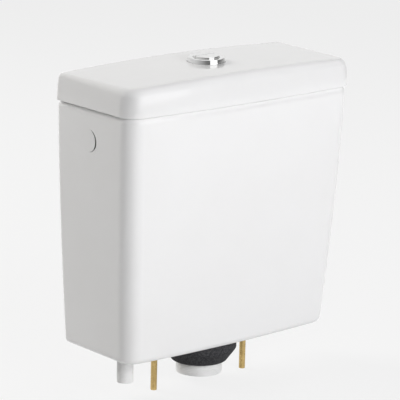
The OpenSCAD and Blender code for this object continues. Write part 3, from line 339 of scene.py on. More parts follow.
pale_world()
for i, width in enumerate(WINDOW_WIDTHS):
    soft_lamp(f"window_{i}", place=(WINDOW_X, WINDOW_Y, WINDOW_Z), target=(WINDOW_X, 0, WINDOW_Z),
              size=(width, width - WINDOW_SQUAT), level=WINDOW_LEVEL)
soft_lamp("front_fill", place=(0, -2.2, 0.8), target=TANK_MIDDLE, size=(1.4, 1.0), level=6.38,
          mirrored=False)
soft_lamp("left_fill", place=(-1, -2.2, 0.9), target=TANK_MIDDLE, size=(0.8, 1.2), level=1.2,
          mirrored=False)
soft_lamp("ceiling", place=(0.2, -0.3, 2.7), target=(0, 0, 0), size=(2.0, 2.0), level=0.4)
soft_lamp("right_ceiling", place=(1.6, 0.3, 1.9), target=(0, 0, 0.3), size=(1.2, 1.2), level=2.3,
          mirrored=False)
soft_lamp("wall_bounce", place=(-1, 2.1, 1.4), target=(-0.1, 0, 0.2), size=(0.9, 1.2), level=17.3,
          colour=ROOM_LIGHT, mirrored=False)
print("light: a window, two fills, a ceiling, a lamp on the right, a bounce and a pale world")

# %% [markdown]
# ## Finishes
#
# A finish is a shader with a little unevenness in it, because nothing that was fired, moulded, plated or
# cast is the same all over. One helper makes the shader and reads Object coordinates, so a pattern keeps
# its real scale in metres. Three more helpers spread a texture over colour, roughness and bump. Whatever is
# the same all over the surface is set on the shader's own sockets.

# %% Finish helpers
NOISE_LOW = 0.3
NOISE_HIGH = 0.7


class Finish:
    """A material under construction, with helpers that vary it over the surface."""

    def __init__(self, name, colour, roughness, sockets=()):
        self.material = bpy.data.materials.new(name)
        self.material.use_nodes = True
        self.tree = self.material.node_tree
        self.shader = self.tree.nodes["Principled BSDF"]
        self.shader.inputs["Base Color"].default_value = (*colour, 1)
        self.shader.inputs["Roughness"].default_value = roughness
        for socket, value in dict(sockets).items():
            self.shader.inputs[socket].default_value = value
        self.place = add_node(self.tree, "ShaderNodeTexCoord").outputs["Object"]
        self.last_bump = None

    def noise(self, scale, detail=2.0, stretch=(1, 1, 1)):
        """Cloudy unevenness: scale is its number of patches to a metre."""
        place = add_node(self.tree, "ShaderNodeMapping", {"Vector": self.place, "Scale": stretch}).outputs[0]
        inputs = {"Vector": place, "Scale": scale, "Detail": detail}
        return add_node(self.tree, "ShaderNodeTexNoise", inputs).outputs["Fac"]

    def cells(self, scale):
        """The cells of a foam: scale is their number to a metre."""
        inputs = {"Vector": self.place, "Scale": scale}
        return add_node(self.tree, "ShaderNodeTexVoronoi", inputs).outputs["Distance"]

    def colour(self, pattern, dark, light, low=0.35, high=0.65):
        """Blends two shades where the pattern goes from low to high."""
        ramp = add_node(self.tree, "ShaderNodeValToRGB", {"Fac": pattern})
        for end, position, shade in zip(ramp.color_ramp.elements, (low, high), (dark, light)):
            end.position = position
            end.color = (*shade, 1)
        self.tree.links.new(ramp.outputs["Color"], self.shader.inputs["Base Color"])

    def roughness(self, pattern, low, high):
        """Spreads the roughness over the values that noise has most often."""
        spread = add_node(self.tree, "ShaderNodeMapRange", {
            "Value": pattern, "From Min": NOISE_LOW, "From Max": NOISE_HIGH, "To Min": low, "To Max": high})
        self.tree.links.new(spread.outputs["Result"], self.shader.inputs["Roughness"])

    def bump(self, pattern, depth, strength, coat=False):
        """Raises the pattern by a depth in metres; bumps add up in the order in which they are made."""
        inputs = {"Height": pattern, "Distance": depth, "Strength": strength}
        if self.last_bump:
            inputs["Normal"] = self.last_bump
        self.last_bump = add_node(self.tree, "ShaderNodeBump", inputs).outputs["Normal"]
        self.tree.links.new(self.last_bump, self.shader.inputs["Normal"])
        if coat:
            self.tree.links.new(self.last_bump, self.shader.inputs["Coat Normal"])


# %% [markdown]
# ## China, chrome, plastic, rubber and metal
#
# Vitreous china is an opaque white body under a clear glaze: the body is matt and the glaze is a thin
# glossy coat that ripples very slightly where it ran in the kiln. Chrome plate is a mirror with faint
# cleaning haze. The valves are moulded in white, grey and blue plastic with a fine spark-eroded grain. The
# seals are dull rubber, the gaskets are foam with visible cells, the bolts are brass that has begun to
# tarnish, and the pins, springs and washers are bright zinc-plated steel.

# %% The finishes
CHINA_WHITE = (0.86, 0.86, 0.86)
CHINA_SHADES = ((0.852, 0.85, 0.848), (0.868, 0.868, 0.868))
CLEAR_GLAZE = {"Coat Weight": 1.0, "Coat IOR": 1.6, "Coat Roughness": 0.02}
METAL = {"Metallic": 1.0}
FOAM_CELLS = 520


def glazed_china():
    made = Finish("glazed_china", CHINA_WHITE, 0.45, CLEAR_GLAZE)
    made.colour(made.noise(7, 3), *CHINA_SHADES)
    made.roughness(made.noise(60, 3), 0.38, 0.5)
    made.bump(made.noise(38, 1.5), 0.1 * MM, 0.25, coat=True)
    return made.material


def chrome_plate():
    made = Finish("chrome_plate", (0.83, 0.83, 0.825), 0.05, METAL)
    made.colour(made.noise(160, 4), (0.80, 0.80, 0.795), (0.86, 0.86, 0.855))
    made.roughness(made.noise(420, 5), 0.035, 0.10)
    made.bump(made.noise(900, 2), 0.01 * MM, 0.15)
    return made.material


def moulded_plastic(name, dark, light, low, high):
    """Injection moulded plastic: flow clouds in the colour, an uneven sheen and a fine eroded grain."""
    made = Finish(name, light, high, {"IOR": 1.49})
    made.colour(made.noise(55, 4), dark, light)
    made.roughness(made.noise(240, 3), low, high)
    made.bump(made.noise(2600, 2), 0.03 * MM, 0.35)
    made.bump(made.noise(30, 2), 0.25 * MM, 0.15)
    return made.material


def seal_rubber():
    made = Finish("seal_rubber", (0.035, 0.035, 0.038), 0.6, {"Specular IOR Level": 0.35})
    made.colour(made.noise(140, 5), (0.024, 0.024, 0.026), (0.055, 0.055, 0.058))
    made.roughness(made.noise(300, 4), 0.5, 0.75)
    made.bump(made.noise(1500, 4), 0.05 * MM, 0.5)
    return made.material


def cell_foam():
    made = Finish("cell_foam", (0.05, 0.05, 0.054), 0.9, {"Specular IOR Level": 0.2})
    made.colour(made.cells(FOAM_CELLS), (0.085, 0.085, 0.09), (0.035, 0.035, 0.038), 0.1, 0.7)
    made.bump(made.cells(FOAM_CELLS), 0.4 * MM, 0.8)
    made.bump(made.noise(90, 3), 0.6 * MM, 0.3)
    return made.material


def plated_steel():
    made = Finish("plated_steel", (0.6, 0.61, 0.63), 0.3, METAL)
    made.colour(made.noise(380, 5), (0.5, 0.51, 0.53), (0.66, 0.67, 0.69))
    made.roughness(made.noise(700, 3), 0.22, 0.42)
    made.bump(made.noise(1800, 2, (1, 1, 0.2)), 0.02 * MM, 0.4)
    return made.material


def tarnished_brass():
    made = Finish("tarnished_brass", (0.66, 0.48, 0.2), 0.3, METAL)
    made.colour(made.noise(90, 4), (0.57, 0.41, 0.17), (0.72, 0.53, 0.23))
    made.roughness(made.noise(260, 4), 0.2, 0.5)
    made.bump(made.noise(1600, 3, (1, 1, 4)), 0.02 * MM, 0.4)
    return made.material


finishes = {
    "china": glazed_china(),
    "chrome": chrome_plate(),
    "white_plastic": moulded_plastic(
        "white_plastic", (0.83, 0.833, 0.828), (0.865, 0.867, 0.862), 0.28, 0.42),
    "grey_plastic": moulded_plastic("grey_plastic", (0.30, 0.32, 0.335), (0.37, 0.39, 0.405), 0.36, 0.52),
    "blue_plastic": moulded_plastic("blue_plastic", (0.085, 0.20, 0.36), (0.13, 0.27, 0.45), 0.34, 0.5),
    "rubber": seal_rubber(),
    "foam": cell_foam(),
    "steel": plated_steel(),
    "brass": tarnished_brass(),
}
print("finishes:", ", ".join(finishes))

# %% [markdown]
# ## Formulas as node trees
#
# A Geometry Nodes tree can hold the rule that a shape follows, with its sizes as named inputs. Arithmetic
# nodes are slow to write one by one, so a small class lets a rule be written as a formula. Every sign in the
# formula adds a Math node to the tree and links it to the ones before.

# %% Formulas


class Field:
    """A number that flows through a node tree, with arithmetic that adds Math nodes."""

    def __init__(self, tree, socket):
        self.tree = tree
        self.socket = socket

    def math(self, operation, first, second):
        inputs = dict(enumerate(map(socket_of, (first, second))))
        node = add_node(self.tree, "ShaderNodeMath", inputs, operation=operation)
        return Field(self.tree, node.outputs[0])

    def __add__(self, other):
        return self.math("ADD", self, other)

    def __sub__(self, other):
        return self.math("SUBTRACT", self, other)

    def __rsub__(self, other):
        return self.math("SUBTRACT", other, self)

    def __mul__(self, other):
        return self.math("MULTIPLY", self, other)

    def __truediv__(self, other):
        return self.math("DIVIDE", self, other)

    def __pow__(self, other):
        return self.math("POWER", self, other)

    def at_least(self, other):
        return self.math("MAXIMUM", self, other)

    def at_most(self, other):
        return self.math("MINIMUM", self, other)


def socket_of(value):
    """The socket of a field, and any other value as it is."""
    return value.socket if isinstance(value, Field) else value


# %% [markdown]
# ## Trees that make meshes
#
# A second class makes the tree about a formula: it names the inputs, adds the nodes and runs the tree on an
# object. Only the mesh that comes out is kept, so the piece can be cut and smoothed as a plain mesh.

# %% Trees
SOCKETS = {"float": "NodeSocketFloat", "int": "NodeSocketInt", "vector": "NodeSocketVector"}


class Tree:
    """A Geometry Nodes tree with named inputs, which ends in Realize Instances and Set Material."""

    def __init__(self, name, **inputs):
        self.tree = bpy.data.node_groups.new(name, "GeometryNodeTree")
        self.tree.is_modifier = True
        face = self.tree.interface
        face.new_socket(name="Geometry", in_out="OUTPUT", socket_type="NodeSocketGeometry")
        face.new_socket(name="Geometry", in_out="INPUT", socket_type="NodeSocketGeometry")
        for label, kind in inputs.items():
            face.new_socket(name=label, in_out="INPUT", socket_type=SOCKETS[kind])
        face.new_socket(name="material", in_out="INPUT", socket_type="NodeSocketMaterial")
        self.inputs = self.tree.nodes.new("NodeGroupInput").outputs

    def node(self, kind, inputs, **settings):
        """A node of this tree, whose inputs may also be fields."""
        sockets = {name: socket_of(value) for name, value in inputs.items()}
        return add_node(self.tree, kind, sockets, **settings)

    def field(self, name):
        return Field(self.tree, self.inputs[name])

    def attribute(self, name):
        node = self.node("GeometryNodeInputNamedAttribute", {"Name": name}, data_type="FLOAT")
        return Field(self.tree, node.outputs["Attribute"])

    def close(self, geometry):
        whole = self.node("GeometryNodeRealizeInstances", {"Geometry": geometry})
        finished = self.node("GeometryNodeSetMaterial", {
            "Geometry": whole.outputs[0], "Material": self.inputs["material"]})
        self.node("NodeGroupOutput", {"Geometry": finished.outputs[0]})
        return self

    def run(self, name, material, source=None, **sizes):
        """The tree's result as a plain mesh object, with no modifier left on it."""
        made = linked(name, source or bpy.data.meshes.new(name))
        modifier = made.modifiers.new("tree", "NODES")
        modifier.node_group = self.tree
        values = {**sizes, "material": material}
        for item in self.tree.interface.items_tree:
            if item.in_out == "INPUT" and item.name in values:
                modifier[item.identifier] = values[item.name]
        return keep_result(made)


def keep_result(made):
    """Turns an object's modifiers into its mesh."""
    bpy.context.view_layer.update()
    evaluated = made.evaluated_get(bpy.context.evaluated_depsgraph_get())
    mesh = bpy.data.meshes.new_from_object(evaluated)
    made.modifiers.clear()
    made.data = mesh
    mesh.name = made.name
    return made


# %% [markdown]
# ## The rule of the castings
#
# The tank and the lid are not sculpted: potters cast them in moulds that follow a rule. The plan is a
# rectangle with two round corners in front and two small ones behind, its front swells, and the sides draw
# in towards the base. One tree holds that rule, and it shapes both castings from flat nets.

# %% The rule of the castings
NET_VALUES = (
    "across", "ahead", "turn_x", "turn_y", "level", "inset", "shrink", "arched", "edge_in", "edge_down")
CASTING_SIZES = (
    "half_width", "back", "front", "height", "side_taper", "front_taper", "taper_power", "bow", "corner",
    "base_corner", "back_corner", "least_corner", "middle", "crown", "front_edge", "back_edge")


def casting_rule():
    """Moves each point of a flat net to its place on a casting."""
    rule = Tree("casting_rule", **dict.fromkeys(CASTING_SIZES, "float"))
    size = {name: rule.field(name) for name in CASTING_SIZES}
    across, ahead, turn_x, turn_y, level, inset, shrink, arched, edge_in, edge_down = (
        rule.attribute(name) for name in NET_VALUES)
    drawn_in = (1.0 - level / size["height"]).at_least(0.0) ** size["taper_power"]

    def plan(inset):
        """Where the point lies in the plan that is set in by a distance."""
        half = size["half_width"] - size["side_taper"] * drawn_in - inset
        front = size["front"] + size["front_taper"] * drawn_in + inset
        corner = size["corner"] + (size["base_corner"] - size["corner"]) * drawn_in - inset
        corner = corner.at_least(size["least_corner"])
        back_corner = (size["back_corner"] - inset).at_least(size["least_corner"])
        radius = back_corner + (corner - back_corner) * ahead
        x = (half - radius) * across + radius * turn_x
        start = size["back"] - inset - back_corner
        y = start + (front + corner - start) * ahead + radius * turn_y
        return x, y - size["bow"] * ahead * (1.0 - (x / half) ** 2.0)

    forward = ((size["back"] - plan(inset)[1]) / (size["back"] - size["front"])).at_most(1.0)
    edge = size["back_edge"] + (size["front_edge"] - size["back_edge"]) * forward
    x, y = plan(inset + edge_in * edge)
    x, y = x * shrink, size["middle"] + (y - size["middle"]) * shrink
    arch = size["crown"] * (1.0 - (x / size["half_width"]) ** 2.0)
    z = level + arched * arch - edge_down * edge
    place = rule.node("ShaderNodeCombineXYZ", {"X": x, "Y": y, "Z": z})
    moved = rule.node("GeometryNodeSetPosition", {
        "Geometry": rule.inputs["Geometry"], "Position": place.outputs[0]})
    return rule.close(moved.outputs[0])


castings = casting_rule()
print("casting rule:", len(castings.tree.nodes), "nodes")

# %% [markdown]
# ## Nets for the castings
#
# The rule needs a net to work on: a closed strip of points round the plan, repeated at every level. Each
# point knows how far across and ahead it lies and which way it faces, and each level knows its height and
# how far it is set in. Round stretches are arcs with many points, and flat stretches have a few, so that
# smooth shading doesn't bend across them.

# %% Nets
CORNER_STEPS = 18
BACK_CORNER_STEPS = 8
FRONT_STEPS = 48
BACK_STEPS = 16
SIDE_STEPS = 14


def plan_points():
    """Round the plan, anticlockwise from the right side: how far across, how far ahead and the facing."""
    points = []

    def corner(across, ahead, start, steps):
        for i in range(steps + 1):
            turn = math.radians(start + 90 * i / steps)
            points.append((across, ahead, math.cos(turn), math.sin(turn)))

    corner(1, 0, 0, BACK_CORNER_STEPS)
    points.extend((1 - 2 * i / BACK_STEPS, 0, 0, 1) for i in range(1, BACK_STEPS))
    corner(-1, 0, 90, BACK_CORNER_STEPS)
    points.extend((-1, i / SIDE_STEPS, -1, 0) for i in range(1, SIDE_STEPS))
    corner(-1, 1, 180, CORNER_STEPS)
    points.extend((2 * i / FRONT_STEPS - 1, 1, 0, -1) for i in range(1, FRONT_STEPS))
    corner(1, 1, 270, CORNER_STEPS)
    points.extend((1, 1 - i / SIDE_STEPS, 1, 0) for i in range(1, SIDE_STEPS))
    return points


def quarter(steps, skip=0):
    """Sine and cosine over a quarter turn."""
    for i in range(skip, steps + 1):
        yield math.sin(math.pi / 2 * i / steps), math.cos(math.pi / 2 * i / steps)


def level_ring(level, inset=0.0, shrink=1.0, arched=0.0, edge_in=0.0, edge_down=0.0):
    """What a ring of the net knows; the last three say how it follows the arch and round edge of a lid."""
    return level, inset, shrink, arched, edge_in, edge_down


def casting_net(name, levels):
    """A net over rings, closed by a flat face at each end."""
    plan = plan_points()
    count = len(plan)
    last = (len(levels) - 1) * count
    rows = [(*point, *level_ring(*level)) for level in levels for point in plan]
    faces = [tuple(reversed(range(count))), tuple(range(last, last + count))]
    for low in range(0, last, count):
        faces.extend(
            (low + j, low + (j + 1) % count, low + count + (j + 1) % count, low + count + j)
            for j in range(count))
    mesh = bpy.data.meshes.new(name)
    mesh.from_pydata([(row[0], row[1], row[4]) for row in rows], [], faces)
    for i, label in enumerate(NET_VALUES):
        mesh.attributes.new(label, "FLOAT", "POINT").data.foreach_set("value", [row[i] for row in rows])
    return mesh


print("net:", len(plan_points()), "points round the plan")

# %% [markdown]
# ## Turned pieces and holes
#
# Rings, discs and round holes are turned: an outline goes round an axis, as on a lathe. Only the corners of
# an outline are written down, each with its own fillet. Holes are cut in the castings with turned cutters,
# as a potter cuts them in the soft clay. The exact Boolean is slower than the fast one, but it leaves no
# stray faces.

# %% Turned pieces and holes
TURN_STEPS = 128
FILLET_STEPS = 6
ON_AXIS = 1e-7


def filleted(corners, steps=FILLET_STEPS):
    """An outline of (radius, height) points, from corners of (radius, height, fillet)."""
    points = []
    count = len(corners)
    for i, (r, z, fillet) in enumerate(corners):
        here = Vector((r, z))
        if not fillet:
            points.append((r, z))
            continue
        to_last = (Vector(corners[i - 1][:2]) - here).normalized()
        to_next = (Vector(corners[(i + 1) % count][:2]) - here).normalized()
        half = to_last.angle(to_next) / 2
        centre = here + (to_last + to_next).normalized() * fillet / math.sin(half)
        start = here + to_last * fillet / math.tan(half) - centre
        end = here + to_next * fillet / math.tan(half) - centre
        for k in range(steps + 1):
            points.append(tuple(centre + start.normalized().slerp(end.normalized(), k / steps) * fillet))
    return points


def from_bmesh(name, work):
    """A linked object from a bmesh, which is used up."""
    mesh = bpy.data.meshes.new(name)
    work.to_mesh(mesh)
    work.free()
    return linked(name, mesh)


def turned(name, outline, steps=TURN_STEPS, place=Matrix.Identity(4)):
    """A solid turned on a lathe from a closed outline, whose points on the axis become poles."""
    work = bmesh.new()
    rings = []
    for r, z in outline:
        around = steps if r > ON_AXIS else 1
        turns = [2 * math.pi * k / steps for k in range(around)]
        rings.append([work.verts.new((r * math.cos(t), r * math.sin(t), z)) for t in turns])
    for low, high in zip(rings, rings[1:] + rings[:1]):
        for k in range(steps):
            quad = [low[k % len(low)], low[(k + 1) % len(low)],
                    high[(k + 1) % len(high)], high[k % len(high)]]
            corners = list(dict.fromkeys(quad))
            if len(corners) > 2:
                work.faces.new(corners)
    bmesh.ops.recalc_face_normals(work, faces=work.faces)
    work.transform(place)
    return from_bmesh(name, work)


def cut(piece, cutters):
    """Cuts holes and removes the cutters."""
    for cutter in cutters:
        modifier = piece.modifiers.new(cutter.name, "BOOLEAN")
        modifier.operation = "DIFFERENCE"
        modifier.solver = "EXACT"
        modifier.object = cutter
    keep_result(piece)
    for cutter in cutters:
        bpy.data.objects.remove(cutter)


# %% [markdown]
# ## Smooth faces and finishes
#
# Smooth shading alone bends the light over a flat face that meets a round edge. Normals that follow the
# larger faces keep the flat ones flat, and edges past a certain angle stay sharp. A last helper puts a new
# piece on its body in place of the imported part, with the finish that the part's record asks for.

# %% Smooth faces and finishes
SHARP_ANGLE = math.radians(38)
LARGE_FACES_FIRST = 100


def smoothed(piece):
    """Smooth shading up to an angle, with normals that follow the larger faces."""
    piece.data.shade_smooth()
    piece.data.set_sharp_from_angle(angle=SHARP_ANGLE)
    modifier = piece.modifiers.new("even_faces", "WEIGHTED_NORMAL")
    modifier.keep_sharp = True
    modifier.weight = LARGE_FACES_FIRST
    return keep_result(piece)


def dress(piece, node):
    """Puts a new piece on its node's body, in place of the node, with the finish of the node's slot."""
    slot = slot_of[node]
    piece.data.materials.clear()
    piece.data.materials.append(finishes[slot])
    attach(piece, frame["nodes"][node]["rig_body"])
    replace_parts(piece, node)
    return piece


# %% [markdown]
# ## Tank
#
# The tank is one casting: a rounded foot, walls that draw in towards the base, a rounded rim and a rounded
# floor inside. Its net runs up the outside, over the rim and down the inside, so the wall has its real
# thickness. Its overall sizes come from the frame, and its curves follow the ones it was drawn with.

# %% Tank
SIDE_TAPER = 16 * MM
FRONT_TAPER = 15.5 * MM
TAPER_POWER = 1.5
FRONT_BOW = 7 * MM
FRONT_CORNER = 21 * MM
BASE_CORNER = 20 * MM
BACK_CORNER = 6 * MM
LEAST_CORNER = 4 * MM
WALL = 9 * MM
FLOOR = 11 * MM
BASE_EDGE = 8 * MM
FLOOR_EDGE = 10 * MM
RIM_WIDTH = 6 * MM
RIM_DROP = 10 * MM
RIM_INNER = 2.5 * MM
EDGE_STEPS = 8
WALL_STEPS = 44

tank_low, tank_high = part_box("tank")
tank_height = tank_high.z


def drawn_in(level):
    """How far the walls have drawn in at a level, from 0 at the rim to 1 at the base."""
    return max(0, 1 - level / tank_height) ** TAPER_POWER


widest = tank_height - RIM_DROP
tank_half = tank_high.x + SIDE_TAPER * drawn_in(widest)
tank_front = tank_low.y + FRONT_BOW - FRONT_TAPER * drawn_in(widest)


def tank_levels():
    """From the foot up the outside, over the rim and down to the floor inside."""
    inner_high = tank_height - RIM_INNER
    floor_low = FLOOR + FLOOR_EDGE
    levels = [(BASE_EDGE * (1 - c), BASE_EDGE * (1 - s)) for s, c in quarter(EDGE_STEPS)][:-1]
    levels += [(BASE_EDGE + (widest - BASE_EDGE) * i / WALL_STEPS, 0) for i in range(WALL_STEPS + 1)]
    levels += [(widest + RIM_DROP * s, RIM_WIDTH * (1 - c)) for s, c in quarter(2 * EDGE_STEPS, 1)]
    levels += [(inner_high + RIM_INNER * c, WALL - RIM_INNER * (1 - s)) for s, c in quarter(EDGE_STEPS)]
    for i in range(1, WALL_STEPS + 1):
        levels.append((inner_high + (floor_low - inner_high) * i / WALL_STEPS, WALL))
    levels += [(floor_low - FLOOR_EDGE * s, WALL + FLOOR_EDGE * (1 - c)) for s, c in quarter(EDGE_STEPS, 1)]
    return levels


tank = castings.run(
    "tank_casting", finishes["china"], casting_net("tank_casting", tank_levels()),
    half_width=tank_half, back=tank_high.y, front=tank_front, height=tank_height, side_taper=SIDE_TAPER,
    front_taper=FRONT_TAPER, taper_power=TAPER_POWER, bow=FRONT_BOW, corner=FRONT_CORNER,
    base_corner=BASE_CORNER, back_corner=BACK_CORNER, least_corner=LEAST_CORNER, middle=0.0, crown=0.0,
    front_edge=0.0, back_edge=0.0)
print(f"tank: {tank_height / MM:.0f} mm high, walls of {WALL / MM:.0f} mm")

# %% [markdown]
# ## Holes in the tank
#
# The floor has a wide hole for the flush valve, one for the shank of the fill valve and one for each bolt,
# all with a small bevel. The left wall has a stepped hole for the side plug: the wide step takes its face
# and seal, the narrow one its barrel, and a flat spot inside takes its nut.

# %% Holes in the tank
PAST = 2 * MM
HOLE_EDGE = 0.7 * MM
FLOOR_HOLE_STEPS = 64
FINE_HOLE_STEPS = 96
OUTLET_HOLE = 31.5 * MM
SHANK = 10.48 * MM
SHANK_GAP = 1 * MM
BOLT_HOLE = 5.5 * MM
BOLT_HEAD = 8.5 * MM
PLUG_PLAY = 0.1 * MM
PLUG_BARREL = 9 * MM
PLUG_SPOT = 17.3 * MM
PLUG_SPOT_DEPTH = 0.8 * MM

shank_low, shank_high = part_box("shank_washer")
fill_x = (shank_low.x + shank_high.x) / 2
fill_y = (shank_low.y + shank_high.y) / 2
bolt_low, bolt_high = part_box("coupling_bolts")
bolt_x = bolt_high.x - BOLT_HEAD
plug_low, plug_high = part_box("side_plug")
plug_z = (plug_low.z + plug_high.z) / 2
plug_r = (plug_high.z - plug_low.z) / 2
plug_shift = (plug_low.y + plug_high.y) / 2 - fill_y
plug_hole = plug_r + plug_shift + PLUG_PLAY
plug_wall = SIDE_TAPER * drawn_in(plug_z) - tank_half
along_plug = Matrix.Translation((plug_wall, fill_y, plug_z)) @ Matrix.Rotation(math.pi / 2, 4, "Y")


def floor_cutter(name, x, y, r):
    wide = r + HOLE_EDGE
    outline = [(0, -PAST), (wide, -PAST), (wide, 0), (r, HOLE_EDGE), (r, FLOOR - HOLE_EDGE),
               (wide, FLOOR), (wide, FLOOR + PAST), (0, FLOOR + PAST)]
    return turned(name, outline, FLOOR_HOLE_STEPS, Matrix.Translation((x, y, 0)))


def plug_cutter():
    """The stepped hole of the side plug, from outside the wall to inside the tank."""
    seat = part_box("plug_seal")[1].x - plug_wall
    inner = PLUG_BARREL + plug_shift + PLUG_PLAY
    spot = WALL - PLUG_SPOT_DEPTH
    outline = [(0, -PAST), (plug_hole, -PAST), (plug_hole, seat), (inner, seat), (inner, spot),
               (PLUG_SPOT, spot), (PLUG_SPOT, WALL + PAST), (0, WALL + PAST)]
    return turned("plug_cutter", outline, FINE_HOLE_STEPS, along_plug)


cut(tank, [
    floor_cutter("outlet_cutter", 0, 0, OUTLET_HOLE),
    floor_cutter("shank_cutter", fill_x, fill_y, SHANK + SHANK_GAP),
    floor_cutter("left_bolt_cutter", -bolt_x, 0, BOLT_HOLE),
    floor_cutter("right_bolt_cutter", bolt_x, 0, BOLT_HOLE),
    plug_cutter(),
])
dress(smoothed(tank), "tank")
print(f"tank: {len(tank.data.polygons)} faces with its holes")

# %% [markdown]
# ## Lid
#
# The lid is a second casting from the same rule, with no taper. Its net starts at the ceiling of its
# hollow, goes down to the lip that drops into the tank, out to the foot, up the side and over the top. The
# side swells: it stands upright at the foot and leans in more and more, which gives the glaze its highlight
# at the corner. The top is arched across the width, and its round edge narrows from the front to the back.
# The hole for the button is turned out of the top, with the shallow seat that the bezel sits in.

# %% Lid
LID_SIDE = 34 * MM
LID_CROWN = 5 * MM
LID_LEAN = 2 * MM
LID_FRONT_EDGE = 12 * MM
LID_BACK_EDGE = 6 * MM
LID_FOOT = 1.5 * MM
LID_SIDE_STEPS = 12
LID_EDGE_START = 2
LID_TOP = 8 * MM
LIP_DEPTH = 8 * MM
LIP = 7 * MM
LIP_INSET = 15 * MM
LIP_EDGE = 1.5 * MM
LIP_EDGE_STEPS = 3
HOLLOW_EDGE = 6 * MM
CROWN_STEPS = 22
CROWN_END = 0.06
LID_HOLE = 20.3 * MM
BEZEL_SEAT = 24.4 * MM
BEZEL_HEIGHT = 6.4 * MM
GASKET = 1 * MM

lid_low, lid_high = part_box("cistern_lid")
lid_foot_z = lid_low.z + LIP_DEPTH
lid_edge_z = lid_foot_z + LID_SIDE
lid_front = lid_low.y + FRONT_BOW
lid_middle = (lid_high.y + lid_low.y) / 2
lid_corner = FRONT_CORNER + lid_high.x - tank_half
bezel_low, bezel_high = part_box("button_bezel")
bezel_z = bezel_high.z - BEZEL_HEIGHT
bezel_seat_z = bezel_z - GASKET


def lid_levels():
    """From the hollow's ceiling down to the lip, out to the foot, up the side and over the top."""
    ceiling = lid_edge_z - LID_TOP
    hollow = LIP_INSET + LIP
    levels = [(ceiling - HOLLOW_EDGE * (1 - c), hollow + HOLLOW_EDGE * (1 - s))
              for s, c in quarter(EDGE_STEPS)]
    levels += [(lid_low.z + LIP_EDGE * (1 - s), hollow - LIP_EDGE * (1 - c))
               for s, c in quarter(LIP_EDGE_STEPS)]
    levels += [(lid_low.z + LIP_EDGE * (1 - c), LIP_INSET + LIP_EDGE * (1 - s))
               for s, c in quarter(LIP_EDGE_STEPS)]
    levels += [(lid_foot_z, LIP_INSET)]
    levels += [(lid_foot_z + LID_FOOT * (1 - c), LID_FOOT * (1 - s)) for s, c in quarter(EDGE_STEPS)]
    low = lid_foot_z + LID_FOOT
    rise = lid_edge_z - low
    edge = [(1 - c, 1 - s) for s, c in quarter(2 * EDGE_STEPS, LID_EDGE_START)]
    for up in (i / LID_SIDE_STEPS for i in range(1, LID_SIDE_STEPS)):
        levels.append((low + rise * up, LID_LEAN * up ** 2, 1, up, edge[0][0] * up ** 2, edge[0][1] * up))
    levels += [(lid_edge_z, LID_LEAN, 1, 1, *part) for part in edge]
    for i in range(1, CROWN_STEPS + 1):
        levels.append((lid_edge_z, LID_LEAN, 1 - (1 - CROWN_END) * i / CROWN_STEPS, 1, 1))
    return levels


def button_hole_cutter():
    low = lid_edge_z - LID_TOP - PAST
    high = bezel_seat_z + LID_CROWN
    outline = [(0, low), (LID_HOLE, low), (LID_HOLE, bezel_seat_z), (BEZEL_SEAT, bezel_seat_z),
               (BEZEL_SEAT, high), (0, high)]
    return turned("button_hole_cutter", outline, FINE_HOLE_STEPS)


lid = castings.run(
    "lid_casting", finishes["china"], casting_net("lid_casting", lid_levels()),
    half_width=lid_high.x, back=lid_high.y, front=lid_front, height=tank_height, side_taper=0.0,
    front_taper=0.0, taper_power=1.0, bow=FRONT_BOW, corner=lid_corner, base_corner=lid_corner,
    back_corner=BACK_CORNER, least_corner=LEAST_CORNER, middle=lid_middle, crown=LID_CROWN,
    front_edge=LID_FRONT_EDGE, back_edge=LID_BACK_EDGE)
cut(lid, [button_hole_cutter()])
dress(smoothed(lid), "cistern_lid")
print(f"lid: {len(lid.data.polygons)} faces, {(lid_high.x - lid_low.x) / MM:.0f} mm wide")

# %% [markdown]
# ## Bezel and flush buttons
#
# The bezel is a chrome ring with a leaning side and a threaded barrel that goes through the lid. Inside
# it sits a raised chrome disc, split into a larger part for a full flush and a smaller one for a half
# flush. Turned outlines with small fillets make them, because chrome shows nothing but its edges. The disc
# is cut by a plane on each side of the slit, and the new edges get a fine bevel.

# %% Bezel and flush buttons
BARREL = 18.9 * MM
BARREL_BORE = 17.8 * MM
BEZEL_BORE = 17.0 * MM
BEZEL_LEDGE = 0.3 * MM
BEZEL_LEAN = 0.7 * MM
BEZEL_ROLL = 1.0 * MM
BEZEL_INNER_ROLL = 0.7 * MM
BEZEL_FOOT_ROLL = 0.5 * MM
BEZEL_TURN_STEPS = 160
DISC = 16.6 * MM
DISC_ROLL = 1.0 * MM
DISC_FOOT = 2.4 * MM
END_ROLL = 0.3 * MM
CHROME_FILLET_STEPS = 10
SPLIT_Y = 2.5 * MM
SLIT = 0.6 * MM
SLIT_BEVEL = 0.25 * MM
CUT_REACH = 1e-7
PLANE_REACH = 1e-6
BEVEL_STEPS = 2
BEVEL_ROUND = 0.5


def bezel_outline():
    ledge = bezel_z + BEZEL_LEDGE
    return filleted([
        (BARREL_BORE, bezel_low.z, 0), (BARREL, bezel_low.z, END_ROLL), (BARREL, bezel_z, 0),
        (bezel_high.x, bezel_z, BEZEL_FOOT_ROLL), (bezel_high.x - BEZEL_LEAN, bezel_high.z, BEZEL_ROLL),
        (BEZEL_BORE, bezel_high.z, BEZEL_INNER_ROLL), (BEZEL_BORE, ledge, 0), (BARREL_BORE, ledge, 0),
    ], CHROME_FILLET_STEPS)


def disc_outline():
    low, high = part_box("full_flush_button")
    foot_r = high.x
    foot_z = low.z + DISC_FOOT
    return filleted([
        (0, low.z, 0), (foot_r, low.z, END_ROLL), (foot_r, foot_z, 0), (DISC, foot_z, 0),
        (DISC, high.z, DISC_ROLL), (0, high.z, 0),
    ], CHROME_FILLET_STEPS)


